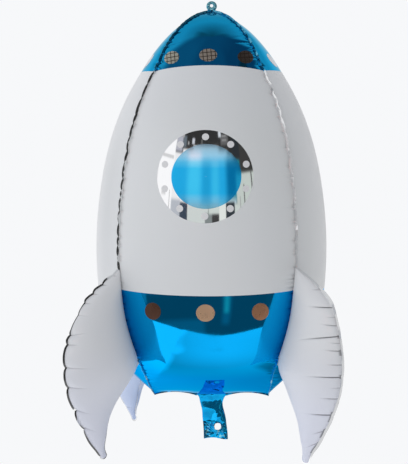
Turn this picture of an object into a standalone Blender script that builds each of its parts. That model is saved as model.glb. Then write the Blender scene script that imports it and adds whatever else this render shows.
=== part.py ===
"""Rocket-shaped foil balloon, hung by the tab at its nose.

Metres, +Z up. The origin is the centre of the hole in the hanging tab, so the whole balloon lies below it.
The printed front faces -Y. Four film panels meet at four seams, at 45 degrees to the front, and a pillow-shaped
fin is sealed into each seam. At the base the front and back panels turn under to one straight seal, with the
filling neck in its middle.
"""

import math

import bmesh
import bpy
import numpy as np

MM = 0.001

# Film, seams and gaps
WALL = 10 * MM
PANEL_GAP = 0.15 * MM
SEAT_GAP = 0.35 * MM
MARGIN = 6 * MM
MARGIN_THICK = 1.2 * MM

# Body profile: height, radius at the middle of a panel, and seam radius as a multiple of it
BODY_PROFILE = np.array(
    [
        (-15, 8, 1.30),
        (-26, 42, 1.20),
        (-52, 76, 1.10),
        (-79, 103, 1.07),
        (-105, 124, 1.05),
        (-146, 151, 1.02),
        (-208, 185, 1.00),
        (-298, 218, 1.00),
        (-400, 238, 1.00),
        (-503, 246, 1.00),
        (-592, 243, 1.00),
        (-650, 235, 1.00),
        (-708, 216, 1.00),
        (-755, 194, 1.00),
    ]
) * (MM, MM, 1)
NOSE_TOP = BODY_PROFILE[0, 0]
WAIST = BODY_PROFILE[-1, 0]
CORE_RADIUS = 4 * MM

# Printed zones: where the colours meet at the middle of a panel, and how far that line shifts at the seams
NOSE_LINE = -146 * MM
NOSE_LINE_SHIFT = -7 * MM
TAIL_LINE = -604 * MM
TAIL_LINE_SHIFT = 7 * MM

# Base seal, where the front and back panels meet
SEAL_Z = -836 * MM
SEAL_HALF = 122.5 * MM
SEAL_START_DROP = 18 * MM
SEAL_APPROACH = (4 * MM, 50 * MM, 19 * MM)
SIDE_TIP_HALF = 3 * MM

# Porthole print: half width and half height of the silver ring and of the pane inside it
PORTHOLE_Z = -372 * MM
RING_HALF = (95.5 * MM, 90.5 * MM)
PANE_HALF = (69 * MM, 63.5 * MM)

# Fin outline in its own plane: distance from the axis and height
FIN_TOP_Z = -563 * MM
FIN_ROOT_END = -749 * MM
FIN_TIP = (278 * MM, -932 * MM)
FIN_OUTER = ((304, -592), (345, -645), (369, -730), (360, -795), (322, -870), (294, -911))
FIN_INNER = ((224, -783), (248, -822), (268, -870), (275, -908))
FIN_FULLNESS = 0.45
FIN_ROUNDNESS = 0.7
FIN_CAVITY_CENTRE = (285 * MM, -735 * MM)
FIN_CAVITY_SCALE = 0.80
FIN_CAVITY_DEPTH = 0.72
RIM_INSET = 8 * MM
RIM_SOLID_BELOW = 26 * MM

# Filling neck: height, centre across, half width and half thickness
NECK_SECTIONS = (
    (-836.6, 0, 34, 0.9),
    (-843, 0, 28, 2.5),
    (-858, 0, 26, 2.5),
    (-878, 3, 27.5, 2.5),
    (-904, 6.5, 28, 2.5),
    (-933.5, 8.5, 27.5, 2.5),
)
NECK_HOLE_AT = (13.5 * MM, -906 * MM)
NECK_HOLE_RADIUS = 8.5 * MM

# Hanging tab
TAB_RADIUS = 12 * MM
TAB_HOLE_RADIUS = 4.7 * MM
TAB_THICK = 2 * MM
TAB_FOOT_HALF = 6 * MM

# Mesh steps
ACROSS = 8
NOSE_ROWS = (0.0, 0.05, 0.14, 0.28, 0.45, 0.64, 0.82, 1.0)
BODY_ROWS = tuple(np.linspace(0, 1, 9))
TAIL_ROWS = (0.0, 0.25, 0.50, 0.75, 1.0)
BASE_ROWS = (0.02, 0.2, 0.42, 0.65, 0.85)
FIN_ROWS_ABOVE = (0.0, 0.2, 0.5)
FIN_ROWS_BELOW = (0.16, 0.32, 0.48, 0.63, 0.77, 0.88, 0.96, 1.0)
ROUND_STEPS = 24

ZONES = (
    # name, finish, height and shift of the upper edge, height and shift of the lower edge, rows
    ("nose", "blue_film", NOSE_TOP, 0, NOSE_LINE + PANEL_GAP, NOSE_LINE_SHIFT, NOSE_ROWS),
    (
        "body", "white_film", NOSE_LINE - PANEL_GAP, NOSE_LINE_SHIFT,
        TAIL_LINE + PANEL_GAP, TAIL_LINE_SHIFT, BODY_ROWS,
    ),
    ("tail", "blue_film", TAIL_LINE - PANEL_GAP, TAIL_LINE_SHIFT, WAIST, 0, TAIL_ROWS),
)

FACINGS = ("front", "right", "back", "left")

COLOURS = {
    # name: colour, roughness, metallic
    "blue_film": ((0.01, 0.27, 0.55), 0.15, 0.9),
    "white_film": ((0.78, 0.79, 0.80), 0.42, 0.1),
    "silver_film": ((0.85, 0.86, 0.87), 0.08, 1.0),
    "pane_film": ((0.05, 0.42, 0.75), 0.30, 0.4),
    "seam_film": ((0.60, 0.61, 0.63), 0.25, 0.8),
}


def smooth(table, z, column):
    """Value of a table's column at height z, on a cubic curve through its rows (heights falling)."""
    heights = table[:, 0]
    values = table[:, column]
    slopes = np.gradient(values, heights)
    i = int(np.clip(np.searchsorted(-heights, -z) - 1, 0, len(heights) - 2))
    span = heights[i + 1] - heights[i]
    u = (z - heights[i]) / span
    u2, u3 = u * u, u * u * u
    return (
        (2 * u3 - 3 * u2 + 1) * values[i]
        + (u3 - 2 * u2 + u) * span * slopes[i]
        + (3 * u2 - 2 * u3) * values[i + 1]
        + (u3 - u2) * span * slopes[i + 1]
    )


def seam_heights():
    """Heights of the mesh rows where they meet a seam, from the nose to the waist."""
    heights = []
    for _, _, top, top_shift, bottom, bottom_shift, rows in ZONES:
        upper = top + top_shift
        lower = bottom + bottom_shift
        heights += [upper + (lower - upper) * v for v in rows]
    return heights


def seam_radius(z):
    """Radius of a seam at height z, straight between the mesh rows."""
    heights = seam_heights()
    radii = [smooth(BODY_PROFILE, h, 1) * smooth(BODY_PROFILE, h, 2) for h in heights]
    return float(np.interp(-z, [-h for h in heights], radii))


def body_section(z, wall=0.0):
    """Height, seam corner (x, y), and bulge of the front and side panels, of the skin or of the wall's inner face."""
    step = 0.5 * MM
    radius = smooth(BODY_PROFILE, z, 1)
    slope = (radius - smooth(BODY_PROFILE, z + step, 1)) / step
    inward = wall * math.hypot(1, slope)
    radius = max(radius - inward, CORE_RADIUS) if wall else radius
    corner = radius * smooth(BODY_PROFILE, z, 2) / math.sqrt(2)
    return z, corner, corner, radius - corner, radius - corner


def base_section(s, wall=0.0):
    """The same below the waist: s runs from 0 at the waist to 1 at the seal, along a cubic from corner to seal end."""
    _, corner, _, bulge, _ = body_section(WAIST, wall)
    lean = corner - body_section(WAIST + MM, wall)[1]
    start = np.array((corner, corner, WAIST))
    first = start + SEAL_START_DROP * np.array((lean / MM, lean / MM, -1))
    end = np.array((SEAL_HALF - wall, PANEL_GAP, SEAL_Z + wall))
    second = end + np.array(SEAL_APPROACH)
    u = 1 - s
    x, y, z = u**3 * start + 3 * u * u * s * first + 3 * u * s * s * second + s**3 * end
    front_bulge = bulge * math.cos(s * math.pi / 2)
    side_bulge = bulge * math.cos(s * math.pi / 2) ** 1.5
    return z, x, y, front_bulge, side_bulge


def on_panel(section, facing, t, drop=0.0):
    """Point at t (-1 to 1) across a panel: an arc over the chord between two seams, turned to its facing."""
    z, corner_x, corner_y, bulge_y, bulge_x = section
    front = facing % 2 == 0
    half = corner_x if front else corner_y
    seat = corner_y if front else corner_x
    bulge = max(bulge_y if front else bulge_x, 1e-7)
    radius = (half * half + bulge * bulge) / (2 * bulge)
    angle = t * (1 - PANEL_GAP / half) * 2 * math.atan2(bulge, half)
    across = radius * math.sin(angle)
    out = seat + bulge - radius * (1 - math.cos(angle))
    turns = ((across, -out), (out, across), (-across, out), (-out, -across))
    return (*turns[facing], z + drop)


def material(name):
    found = bpy.data.materials.get(name)
    if found:
        return found
    colour, roughness, metallic = COLOURS[name]
    made = bpy.data.materials.new(name)
    made.use_nodes = True
    shader = made.node_tree.nodes["Principled BSDF"]
    shader.inputs["Base Color"].default_value = (*colour, 1)
    shader.inputs["Roughness"].default_value = roughness
    shader.inputs["Metallic"].default_value = metallic
    made.diffuse_color = (*colour, 1)
    return made


def add(name, mesh, finish, parent, turn=0.0):
    piece = bpy.data.objects.new(name, mesh)
    bpy.context.scene.collection.objects.link(piece)
    piece.rotation_euler.z = turn
    piece.parent = parent
    if finish and not mesh.materials:
        mesh.materials.append(material(finish))
    return piece


def make_mesh(name, points, faces, smooth_under=35):
    mesh = bpy.data.meshes.new(name)
    mesh.from_pydata([tuple(p) for p in points], [], faces)
    bm = bmesh.new()
    bm.from_mesh(mesh)
    bmesh.ops.recalc_face_normals(bm, faces=bm.faces)
    bm.to_mesh(mesh)
    bm.free()
    mesh.shade_smooth()
    mesh.set_sharp_from_angle(angle=math.radians(smooth_under))
    return mesh


def grid_faces(rows, columns, start=0):
    return [
        (start + r * columns + c, start + r * columns + c + 1,
         start + (r + 1) * columns + c + 1, start + (r + 1) * columns + c)
        for r in range(rows - 1)
        for c in range(columns - 1)
    ]


def grid_border(rows, columns):
    """Indices round the edge of a grid, in order."""
    top = [c for c in range(columns)]
    right = [r * columns + columns - 1 for r in range(1, rows)]
    bottom = [(rows - 1) * columns + c for c in range(columns - 2, -1, -1)]
    left = [r * columns for r in range(rows - 2, 0, -1)]
    return top + right + bottom + left


def shell_mesh(name, outer, inner):
    """Closed wall between two grids of points of the same size, with its side edges split alike on all panels."""
    rows, columns = len(outer), len(outer[0])
    points = [p for row in outer for p in row] + [p for row in inner for p in row]
    count = rows * columns
    faces = grid_faces(rows, columns) + [f[::-1] for f in grid_faces(rows, columns, count)]
    border = grid_border(rows, columns)
    for a, b in zip(border, border[1:] + border[:1]):
        inner_a, inner_b = count + a, count + b
        if b > a:
            faces += [(b, a, inner_b), (a, inner_a, inner_b)]
        else:
            faces += [(b, a, inner_a), (b, inner_a, inner_b)]
    return make_mesh(name, points, faces)


def zone_rows(facing, top, top_shift, bottom, bottom_shift, rows, wall):
    """Grid of points of a printed zone, whose upper and lower edges shift by a share of t squared."""
    grid = []
    for v in rows:
        line = []
        for t in np.linspace(-1, 1, ACROSS + 1):
            upper = top + top_shift * t * t
            lower = bottom + bottom_shift * t * t
            line.append(on_panel(body_section(upper + (lower - upper) * v, wall), facing, t))
        grid.append(line)
    return grid


def base_rows(facing, wall):
    """Grid of points from just below the waist to the seal, or on a side panel to its blunt tip."""
    side_end = 1.0
    while base_section(side_end)[2] < SIDE_TIP_HALF:
        side_end -= 0.002
    grid = []
    for s in (*BASE_ROWS, side_end) if facing % 2 else (*BASE_ROWS, side_end, 1.0):
        section = base_section(s, wall)
        grid.append([on_panel(section, facing, t) for t in np.linspace(-1, 1, ACROSS + 1)])
    return grid


def panel_mesh(zone, facing):
    name, _, *edges, rows = zone
    skins = []
    for wall in (0.0, WALL):
        grid = zone_rows(facing, *edges, rows, wall)
        skins.append(grid + base_rows(facing, wall) if name == "tail" else grid)
    return shell_mesh(f"{name}_{FACINGS[facing]}", *skins)


def ellipse_cutter(name, half, grow, parent):
    """Elliptical bar along Y through the whole body, as a Boolean cutter."""
    bm = bmesh.new()
    bmesh.ops.create_cone(
        bm, cap_ends=True, segments=ROUND_STEPS * 2, radius1=1, radius2=1, depth=2
    )
    for v in bm.verts:
        x, y, z = v.co
        v.co = ((half[0] + grow) * x, -0.3 * z, PORTHOLE_Z + (half[1] + grow) * y)
    mesh = bpy.data.meshes.new(name)
    bm.to_mesh(mesh)
    bm.free()
    cutter = add(name, mesh, None, parent)
    cutter.hide_render = True
    cutter.display_type = "WIRE"
    return cutter


def cut(piece, cutter, operation):
    boolean = piece.modifiers.new(operation.lower(), "BOOLEAN")
    boolean.operation = operation
    boolean.solver = "EXACT"
    boolean.object = cutter


def build_envelope(balloon):
    """Nose, body and tail zones of the four panels, with the porthole set into the front and back ones."""
    ring_hole = ellipse_cutter("cutter_ring_hole", RING_HALF, PANEL_GAP, balloon)
    ring_edge = ellipse_cutter("cutter_ring_edge", RING_HALF, -PANEL_GAP, balloon)
    pane_hole = ellipse_cutter("cutter_pane_hole", PANE_HALF, PANEL_GAP, balloon)
    pane_edge = ellipse_cutter("cutter_pane_edge", PANE_HALF, -PANEL_GAP, balloon)
    for facing, side in enumerate(FACINGS):
        panels = {}
        for zone in ZONES:
            name, finish = zone[:2]
            panels[name] = add(f"{name}_panel_{side}", panel_mesh(zone, facing), finish, balloon)
        if facing % 2:
            continue
        ring = add(f"porthole_ring_{side}", panel_mesh(ZONES[1], facing), "silver_film", balloon)
        pane = add(f"porthole_pane_{side}", panel_mesh(ZONES[1], facing), "pane_film", balloon)
        cut(panels["body"], ring_hole, "DIFFERENCE")
        cut(ring, ring_edge, "INTERSECT")
        cut(ring, pane_hole, "DIFFERENCE")
        cut(pane, pane_edge, "INTERSECT")


def ribbon_mesh(name, line, outwards, near, far, thick):
    """Flat strip that stands out of a line of points, from near to far along its outward directions."""
    line = np.array(line)
    outwards = np.array(outwards)
    along = np.gradient(line, axis=0)
    points = []
    for p, t, w in zip(line, along, outwards):
        t = t / np.linalg.norm(t)
        w = w - (w @ t) * t
        w = w / np.linalg.norm(w)
        n = np.cross(t, w) * thick / 2
        points += [p + w * near - n, p + w * far - n, p + w * far + n, p + w * near + n]
    faces = [(3, 2, 1, 0)]
    for r in range(len(line) - 1):
        a, b = 4 * r, 4 * r + 4
        faces += [(a + k, a + (k + 1) % 4, b + (k + 1) % 4, b + k) for k in range(4)]
    last = 4 * (len(line) - 1)
    faces.append((last, last + 1, last + 2, last + 3))
    return make_mesh(name, points, faces)


def build_seams(balloon):
    """Sealed film edge along each body seam, from just under the tab to the end of the base seal."""
    sections = [(body_section(z), body_section(z, WALL)) for z in seam_heights()[1:]]
    sections += [(base_section(s), base_section(s, WALL)) for s in BASE_ROWS]
    for end, y in (("front", -1), ("back", 1)):
        for side, x in (("left", -1), ("right", 1)):
            line = [(x * o[1], y * o[2], o[0]) for o, _ in sections]
            inner = [(x * i[1], y * i[2], i[0]) for _, i in sections]
            mesh = ribbon_mesh(
                f"seam_{end}_{side}", line, np.subtract(line, inner), SEAT_GAP, MARGIN, MARGIN_THICK
            )
            add(f"seam_margin_{end}_{side}", mesh, "seam_film", balloon)


def edge_curve(points, start, end, z):
    """Distance from the axis of a fin's edge at height z."""
    rows = np.array([start, *[(u * MM, h * MM) for u, h in points], end])
    return smooth(rows[:, ::-1], z, 1)


def fin_edges(z):
    """Inner and outer edge of the fin's pillow at height z: its root follows the body's seam almost to the waist."""
    top = (seam_radius(FIN_TOP_Z) + SEAT_GAP, FIN_TOP_Z)
    outer = edge_curve(FIN_OUTER, top, FIN_TIP, z)
    if z >= FIN_ROOT_END:
        return seam_radius(z) + SEAT_GAP, outer
    root_end = (seam_radius(FIN_ROOT_END) + SEAT_GAP, FIN_ROOT_END)
    return edge_curve(FIN_INNER, root_end, FIN_TIP, z), outer


def fin_heights():
    """Heights of the fin's rows: at the root they are the rows of the tail panels and the heights between them."""
    tail = [h for h in seam_heights() if h < TAIL_LINE + TAIL_LINE_SHIFT]
    heights = [FIN_TOP_Z + (tail[0] - FIN_TOP_Z) * v for v in FIN_ROWS_ABOVE]
    for above, below in zip(tail, tail[1:]):
        heights += [above, (above + below) / 2]
    heights.append(FIN_ROOT_END)
    return heights + [FIN_ROOT_END + (FIN_TIP[1] - FIN_ROOT_END) * v for v in FIN_ROWS_BELOW]


def fin_film_mesh(name, side):
    """One of a fin's two films: half a pillow, flat on the fin's middle plane, with its cavity open to that plane."""
    base = MARGIN_THICK / 2 + SEAT_GAP
    grids = ([], [])
    rows = fin_heights()[1:-1]
    for z in rows:
        inner, outer = fin_edges(z)
        half = (outer - inner) / 2
        middle = (outer + inner) / 2
        line, hollow = [], []
        for k in range(ACROSS + 1):
            share = -math.cos(math.pi * k / ACROSS)
            lift = FIN_FULLNESS * half * max(1 - share * share, 0.0) ** FIN_ROUNDNESS
            u = middle + half * share
            line.append((u, side * (base + lift), z))
            centre_u, centre_z = FIN_CAVITY_CENTRE
            hollow.append(
                (
                    centre_u + (u - centre_u) * FIN_CAVITY_SCALE,
                    side * (base + lift * FIN_CAVITY_DEPTH),
                    centre_z + (z - centre_z) * FIN_CAVITY_SCALE,
                )
            )
        grids[0].append(line)
        grids[1].append(hollow)
    return shell_mesh(name, *grids)


def outward(points):
    """Unit normals to the left of a path in the fin's plane."""
    along = np.gradient(np.array(points), axis=0)
    along /= np.linalg.norm(along, axis=1)[:, None]
    return np.column_stack((-along[:, 1], along[:, 0]))


def fin_rim_mesh(name):
    """Sealed edge of a fin round its two free sides: a flat C-shaped strip between and outside the films."""
    heights = fin_heights()
    clear = MARGIN + SEAT_GAP
    outer_edge = [(fin_edges(z)[1], z) for z in heights]
    inner_edge = [(fin_edges(z)[0], z) for z in heights[::-1] if z < FIN_ROOT_END]
    chords = {z: fin_edges(z)[1] - fin_edges(z)[0] for z in heights}

    def kept(points, normals, reach, solid=False):
        found = []
        for (u, z), n in zip(points, normals):
            if solid and chords[z] < RIM_SOLID_BELOW and z < FIN_ROOT_END:
                continue
            p = np.array((u, z)) + n * reach
            found.append((max(p[0], seam_radius(max(p[1], WAIST)) + clear), p[1]))
        return found

    out_n, in_n = outward(outer_edge), outward(inner_edge)
    outline = kept(outer_edge, out_n, MARGIN) + kept(inner_edge, in_n, MARGIN)
    outline += kept(inner_edge, in_n, -RIM_INSET, True)[::-1]
    outline += kept(outer_edge[1:], out_n[1:], -RIM_INSET, True)[::-1]
    bm = bmesh.new()
    corners = [bm.verts.new((u, -MARGIN_THICK / 2, z)) for u, z in outline]
    face = bm.faces.new(corners)
    grown = bmesh.ops.extrude_face_region(bm, geom=[face])
    moved = [v for v in grown["geom"] if isinstance(v, bmesh.types.BMVert)]
    bmesh.ops.translate(bm, vec=(0, MARGIN_THICK, 0), verts=moved)
    bmesh.ops.recalc_face_normals(bm, faces=bm.faces)
    mesh = bpy.data.meshes.new(name)
    bm.to_mesh(mesh)
    bm.free()
    return mesh


def build_fins(balloon):
    """Four equal fins in the body's seams; each film is named after the panel that it faces."""
    films = {side: fin_film_mesh(f"fin_film_{side}", side) for side in (-1, 1)}
    rim = fin_rim_mesh("fin_rim")
    fins = (
        # place, turn from +X, panel on the -side, panel on the +side
        ("front_right", -45, "front", "right"),
        ("back_right", 45, "right", "back"),
        ("back_left", 135, "back", "left"),
        ("front_left", -135, "left", "front"),
    )
    for place, degrees, before, after in fins:
        turn = math.radians(degrees)
        add(f"fin_{place}_film_{before}", films[-1], "white_film", balloon, turn)
        add(f"fin_{place}_film_{after}", films[1], "white_film", balloon, turn)
        add(f"fin_{place}_rim", rim, "seam_film", balloon, turn)


def build_base(balloon):
    """Base seal on both sides of the neck, and the flat filling neck with its hole."""
    top = SEAL_Z - SEAT_GAP
    neck_side = (NECK_SECTIONS[0][2] + 0.4) * MM
    for side, x in (("left", -1), ("right", 1)):
        line = [(x * neck_side, 0, top), (x * SEAL_HALF * 0.7, 0, top), (x * SEAL_HALF, 0, top)]
        mesh = ribbon_mesh(f"seal_{side}", line, [(0, 0, -1)] * 3, 0, MARGIN, MARGIN_THICK)
        add(f"base_seal_{side}", mesh, "blue_film", balloon)
    outline = []
    for z, centre, half, thick in NECK_SECTIONS:
        outline.append([((centre + x) * MM, y * MM, z * MM)
                        for x, y in ((-half, -thick), (half, -thick), (half, thick), (-half, thick))])
    points = [p for ring in outline for p in ring]
    faces = [(3, 2, 1, 0)]
    for r in range(len(outline) - 1):
        a, b = 4 * r, 4 * r + 4
        faces += [(a + k, a + (k + 1) % 4, b + (k + 1) % 4, b + k) for k in range(4)]
    last = 4 * (len(outline) - 1)
    faces.append((last, last + 1, last + 2, last + 3))
    neck = add("filling_neck", make_mesh("neck", points, faces), "blue_film", balloon)
    hole = hole_cutter("cutter_neck_hole", NECK_HOLE_AT, NECK_HOLE_RADIUS, balloon)
    cut(neck, hole, "DIFFERENCE")


def hole_cutter(name, centre, radius, parent):
    """Round bar along Y, as a Boolean cutter."""
    bm = bmesh.new()
    bmesh.ops.create_cone(
        bm, cap_ends=True, segments=ROUND_STEPS, radius1=radius, radius2=radius, depth=20 * MM
    )
    mesh = bpy.data.meshes.new(name)
    bm.to_mesh(mesh)
    bm.free()
    cutter = add(name, mesh, None, parent)
    cutter.rotation_euler.x = math.pi / 2
    cutter.location = (centre[0], 0, centre[1])
    cutter.hide_render = True
    cutter.display_type = "WIRE"
    return cutter


def build_tab(balloon):
    """Hanging tab: a flat disc with a hole, and a short foot on the tip of the nose."""
    foot_z = NOSE_TOP + SEAT_GAP
    foot_angle = math.asin(TAB_FOOT_HALF / TAB_RADIUS)
    outline = []
    for k in range(ROUND_STEPS + 1):
        angle = -math.pi / 2 + foot_angle + (2 * math.pi - 2 * foot_angle) * k / ROUND_STEPS
        outline.append((TAB_RADIUS * math.cos(angle), TAB_RADIUS * math.sin(angle)))
    outline += [(-TAB_FOOT_HALF, foot_z), (TAB_FOOT_HALF, foot_z)]
    bm = bmesh.new()
    face = bm.faces.new([bm.verts.new((x, -TAB_THICK / 2, z)) for x, z in outline])
    grown = bmesh.ops.extrude_face_region(bm, geom=[face])
    moved = [v for v in grown["geom"] if isinstance(v, bmesh.types.BMVert)]
    bmesh.ops.translate(bm, vec=(0, TAB_THICK, 0), verts=moved)
    bmesh.ops.recalc_face_normals(bm, faces=bm.faces)
    mesh = bpy.data.meshes.new("tab")
    bm.to_mesh(mesh)
    bm.free()
    tab = add("hanging_tab", mesh, "blue_film", balloon)
    cut(tab, hole_cutter("cutter_tab_hole", (0, 0), TAB_HOLE_RADIUS, balloon), "DIFFERENCE")


def main():
    for old in list(bpy.data.objects):
        bpy.data.objects.remove(old)
    balloon = bpy.data.objects.new("balloon", None)
    bpy.context.scene.collection.objects.link(balloon)
    build_envelope(balloon)
    build_seams(balloon)
    build_fins(balloon)
    build_base(balloon)
    build_tab(balloon)


main()
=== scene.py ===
"""Looks of the rocket-shaped foil balloon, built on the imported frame.

Metres, +Z up, the printed front faces -Y. The film panels, their creases and the sealed edges follow the
same formulas as the solids. A place on a panel is given by how far it lies along the panel from the nose,
and by t, which runs from -1 to 1 between the panel's two seams.
"""

import math

import bpy
import numpy as np
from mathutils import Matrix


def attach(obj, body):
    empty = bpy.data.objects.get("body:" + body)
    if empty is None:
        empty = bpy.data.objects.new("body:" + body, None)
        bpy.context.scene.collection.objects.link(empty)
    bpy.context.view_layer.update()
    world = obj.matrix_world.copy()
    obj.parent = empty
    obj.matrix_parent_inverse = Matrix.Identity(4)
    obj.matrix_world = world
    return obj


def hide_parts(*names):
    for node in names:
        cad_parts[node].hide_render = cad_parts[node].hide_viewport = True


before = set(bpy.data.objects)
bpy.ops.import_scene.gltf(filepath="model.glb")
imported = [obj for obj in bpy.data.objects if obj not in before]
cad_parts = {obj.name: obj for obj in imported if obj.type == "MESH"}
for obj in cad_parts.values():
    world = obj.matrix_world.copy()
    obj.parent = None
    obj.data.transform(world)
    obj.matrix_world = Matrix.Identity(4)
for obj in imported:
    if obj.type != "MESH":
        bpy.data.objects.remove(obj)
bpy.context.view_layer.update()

MM = 0.001

# Body profile: height, radius at the middle of a panel, and seam radius as a multiple of it
BODY_PROFILE = np.array(
    [
        (-13.6, 0.8, 1.30),
        (-15, 5, 1.30),
        (-26, 33, 1.20),
        (-52, 75, 1.10),
        (-79, 103, 1.07),
        (-105, 124, 1.05),
        (-146, 151, 1.02),
        (-208, 185, 1.018),
        (-298, 218, 1.018),
        (-400, 238, 1.018),
        (-503, 246, 1.018),
        (-592, 243, 1.012),
        (-650, 235, 1.01),
        (-708, 216, 1.01),
        (-755, 194, 1.00),
    ]
) * (MM, MM, 1)
WAIST = BODY_PROFILE[-1, 0]

# Printed zones: where the colours meet at the middle of a panel, and how far that line shifts at the seams
NOSE_LINE = (-146 * MM, -7 * MM)
TAIL_LINE = (-604 * MM, 7 * MM)

# Base seal, where the front and back panels meet
SEAL_Z = -836 * MM
SEAL_HALF = 122.5 * MM
SEAL_START_DROP = 18 * MM
SEAL_APPROACH = (4 * MM, 50 * MM, 19 * MM)
BASE_STEPS = (0.2, 0.42, 0.65, 0.85, 1.0)

# Porthole print and its rivets
PORTHOLE_Z = -371 * MM
RING_HALF = (94.5 * MM, 91.3 * MM)
RING_X = -1.8 * MM
PANE_HALF = (68.6 * MM, 63.5 * MM)
PANE_X = 1 * MM
RIVET_HALF = (83.8 * MM, 77.6 * MM)
RIVET_X = -1 * MM
RIVET_RADIUS = (7 * MM, 7 * MM)
RIVETS = 10

# Dots: half width and half height, height, how much lower the outer ones sit, and the angle and tone of each
# on the front and back panels, then on the side panels. The tones of a row are painted light and shade on
# one print.
DOT_ROWS = {
    "nose": (
        (18.4 * MM, 16.2 * MM),
        -123.5 * MM,
        2.4 * MM,
        ((-29.3, "pale"), (0, "sand"), (29.3, "shaded_sand")),
        ((-18, "glancing_lit_sand"), (18, "glancing_lit_sand")),
    ),
    "tail": (
        (18.4 * MM, 17.5 * MM),
        -637.4 * MM,
        -1.2 * MM,
        ((-25.4, "shaded_copper"), (0, "lit_copper"), (25.8, "copper")),
        ((-26, "copper"), (0, "lit_copper"), (26, "copper")),
    ),
}
LATTICED_TONES = ("pale", "sand", "shaded_sand")
# Painted light on the dots: the left nose dot is painted lighter, the right one darker and the side ones
# paler, a painted glancing sheen; the left front tail dot is painted darker and the middle tail dots lighter.
DOT_TONES = {
    "pale": ((0.46, 0.45, 0.37), (0.66, 0.64, 0.52)),
    "sand": ((0.40, 0.34, 0.27), (0.54, 0.46, 0.37)),
    "shaded_sand": ((0.06, 0.045, 0.035), (0.11, 0.08, 0.06)),
    "glancing_lit_sand": ((0.62, 0.64, 0.68), (0.74, 0.76, 0.80)),
    "shaded_copper": ((0.10, 0.045, 0.03), (0.17, 0.08, 0.05)),
    "lit_copper": ((0.72, 0.44, 0.27), (0.86, 0.58, 0.38)),
    "copper": ((0.46, 0.22, 0.12), (0.58, 0.29, 0.16)),
}

# Fin outline in its own plane: distance from the axis and height, in millimetres
FIN_ROOT_END = -749
FIN_OUTER = (
    (275, -572.5), (304, -594), (333, -622), (346, -645.6), (357, -667),
    (363.5, -690.8), (368.7, -729.5), (366.6, -761.7), (360, -794), (349.4, -819.8),
    (337.6, -845.6), (321.4, -871.4), (306.4, -895), (290, -916.6),
)
FIN_INNER = ((223.6, -783.3), (240.8, -811.2), (257, -839.1), (267.7, -867), (272, -890.7), (275.2, -914.4))
FIN_TIP_U = 278
FIN_TIP_ROUND = 7
# Gap between a seam and a fin's film
FIN_GAP = 0.3
# Height over which a fin's fullness is rounded off at its corners
CORNER_SOFT = 42 * MM
# Fullness and roundness of the fins' films: the usual ones, and those of films that differ
USUAL_FULLNESS = (0.45, 0.62)
FIN_FULLNESS = {"back_left_back": (0.8, 0.5)}

# How each fin hangs: its top, its tip, and how far its outer and inner edges stand out at some heights
FIN_HANG = {
    "front_right": (
        -552,
        -938,
        ((-560, 10), (-606, 17), (-635, 11), (-655, 6), (-680, 3), (-900, 3), (-938, 2)),
        ((-749, 0), (-790, -2), (-820, -6), (-880, -8), (-912, -6), (-938, -2)),
    ),
    "front_left": (
        -556,
        -932,
        (
            (-556, 0), (-590, 6), (-640, 8), (-665, 10), (-690, 14),
            (-730, 15), (-800, 15), (-900, 16), (-932, 12),
        ),
        ((-749, 0), (-783, 3), (-811, 10), (-840, 13), (-890, 13), (-932, 12)),
    ),
    "back_right": (-563, -930, ((-563, 0), (-930, 0)), ((-749, 0), (-930, 0))),
    "back_left": (
        -563,
        -930,
        ((-563, 0), (-740, 0), (-870, 4), (-930, -10)),
        ((-749, 0), (-800, -9), (-837, -12), (-885, -11), (-930, -10)),
    ),
}

# Creases from the outer edge of the front fins: height, depth, reach into the film, slope
FIN_CREASES = {
    "front_right": (
        (-592, 1.6, 10, 0.0), (-625, 3.6, 30, 0.03), (-643, 1.2, 8, 0.0), (-659, 2.4, 15, 0.12),
        (-679, 4.4, 54, -0.13), (-692, 1.4, 10, 0.1), (-707, 2.6, 16, 0.08), (-733, 2.4, 14, 0.0),
        (-757, 4.2, 40, -0.02), (-778, 1.2, 9, 0.0), (-800, 2.6, 18, 0.05), (-833, 4.0, 31, -0.02),
        (-867, 2.4, 11, -0.5), (-893, 2.4, 11, -0.8),
    ),
    "front_left": (
        (-569, 6.0, 8, 0.0), (-586, 6.4, 9, 0.0), (-603, 6.0, 9, 0.0), (-620, 3.4, 9, 0.0),
        (-642, 1.8, 12, -0.1), (-680, 4.2, 18, 0.2), (-698, 4.2, 12, 0.0), (-742, 4.2, 30, -0.05),
        (-781, 4.2, 24, -0.05), (-828, 4.4, 18, -0.3), (-865, 4.2, 14, -0.4),
    ),
}
# Scallops of the outer edge at its creases: share of their depth, half height, and reach into the film
EDGE_SCALLOP = {"front_right": 0.2, "front_left": 1.5, "back_right": 0.6, "back_left": 0.6}
SCALLOP_WIDTH = 6.5 * MM
SCALLOP_REACH = 11 * MM

# How deep the creases are on each fin's film, and how dark the shade painted along them is, as shares of the
# depths above
FIN_CREASE_DEPTH_AND_SHADE = {
    "front_right": (1.0, 1.0),
    "front_left": (0.25, 0.3),
    "back_right": (0.8, 0.6),
    "back_left": (0.4, 0.4),
}
# Width of a crease's sharp fold and of the soft one round it, the soft one's share of the depth, and the
# depth from which a crease's painted shade is at its darkest
FOLD_WIDTH = 0.8 * MM
SOFT_FOLD_WIDTH = 6 * MM
SOFT_FOLD_SHARE = 0.25
FULL_SHADE_DEPTH = 3.6 * MM

# Painted shade strokes where a fin's film is pinched along its outer edge: from and to, in millimetres
EDGE_SHADE_STROKES = {
    "front_right": (
        (-588, -594), (-676, -683), (-704, -716), (-752, -760), (-826, -848), (-862, -882), (-890, -916),
    ),
}
STROKE_WIDTH = 1.6 * MM

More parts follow.
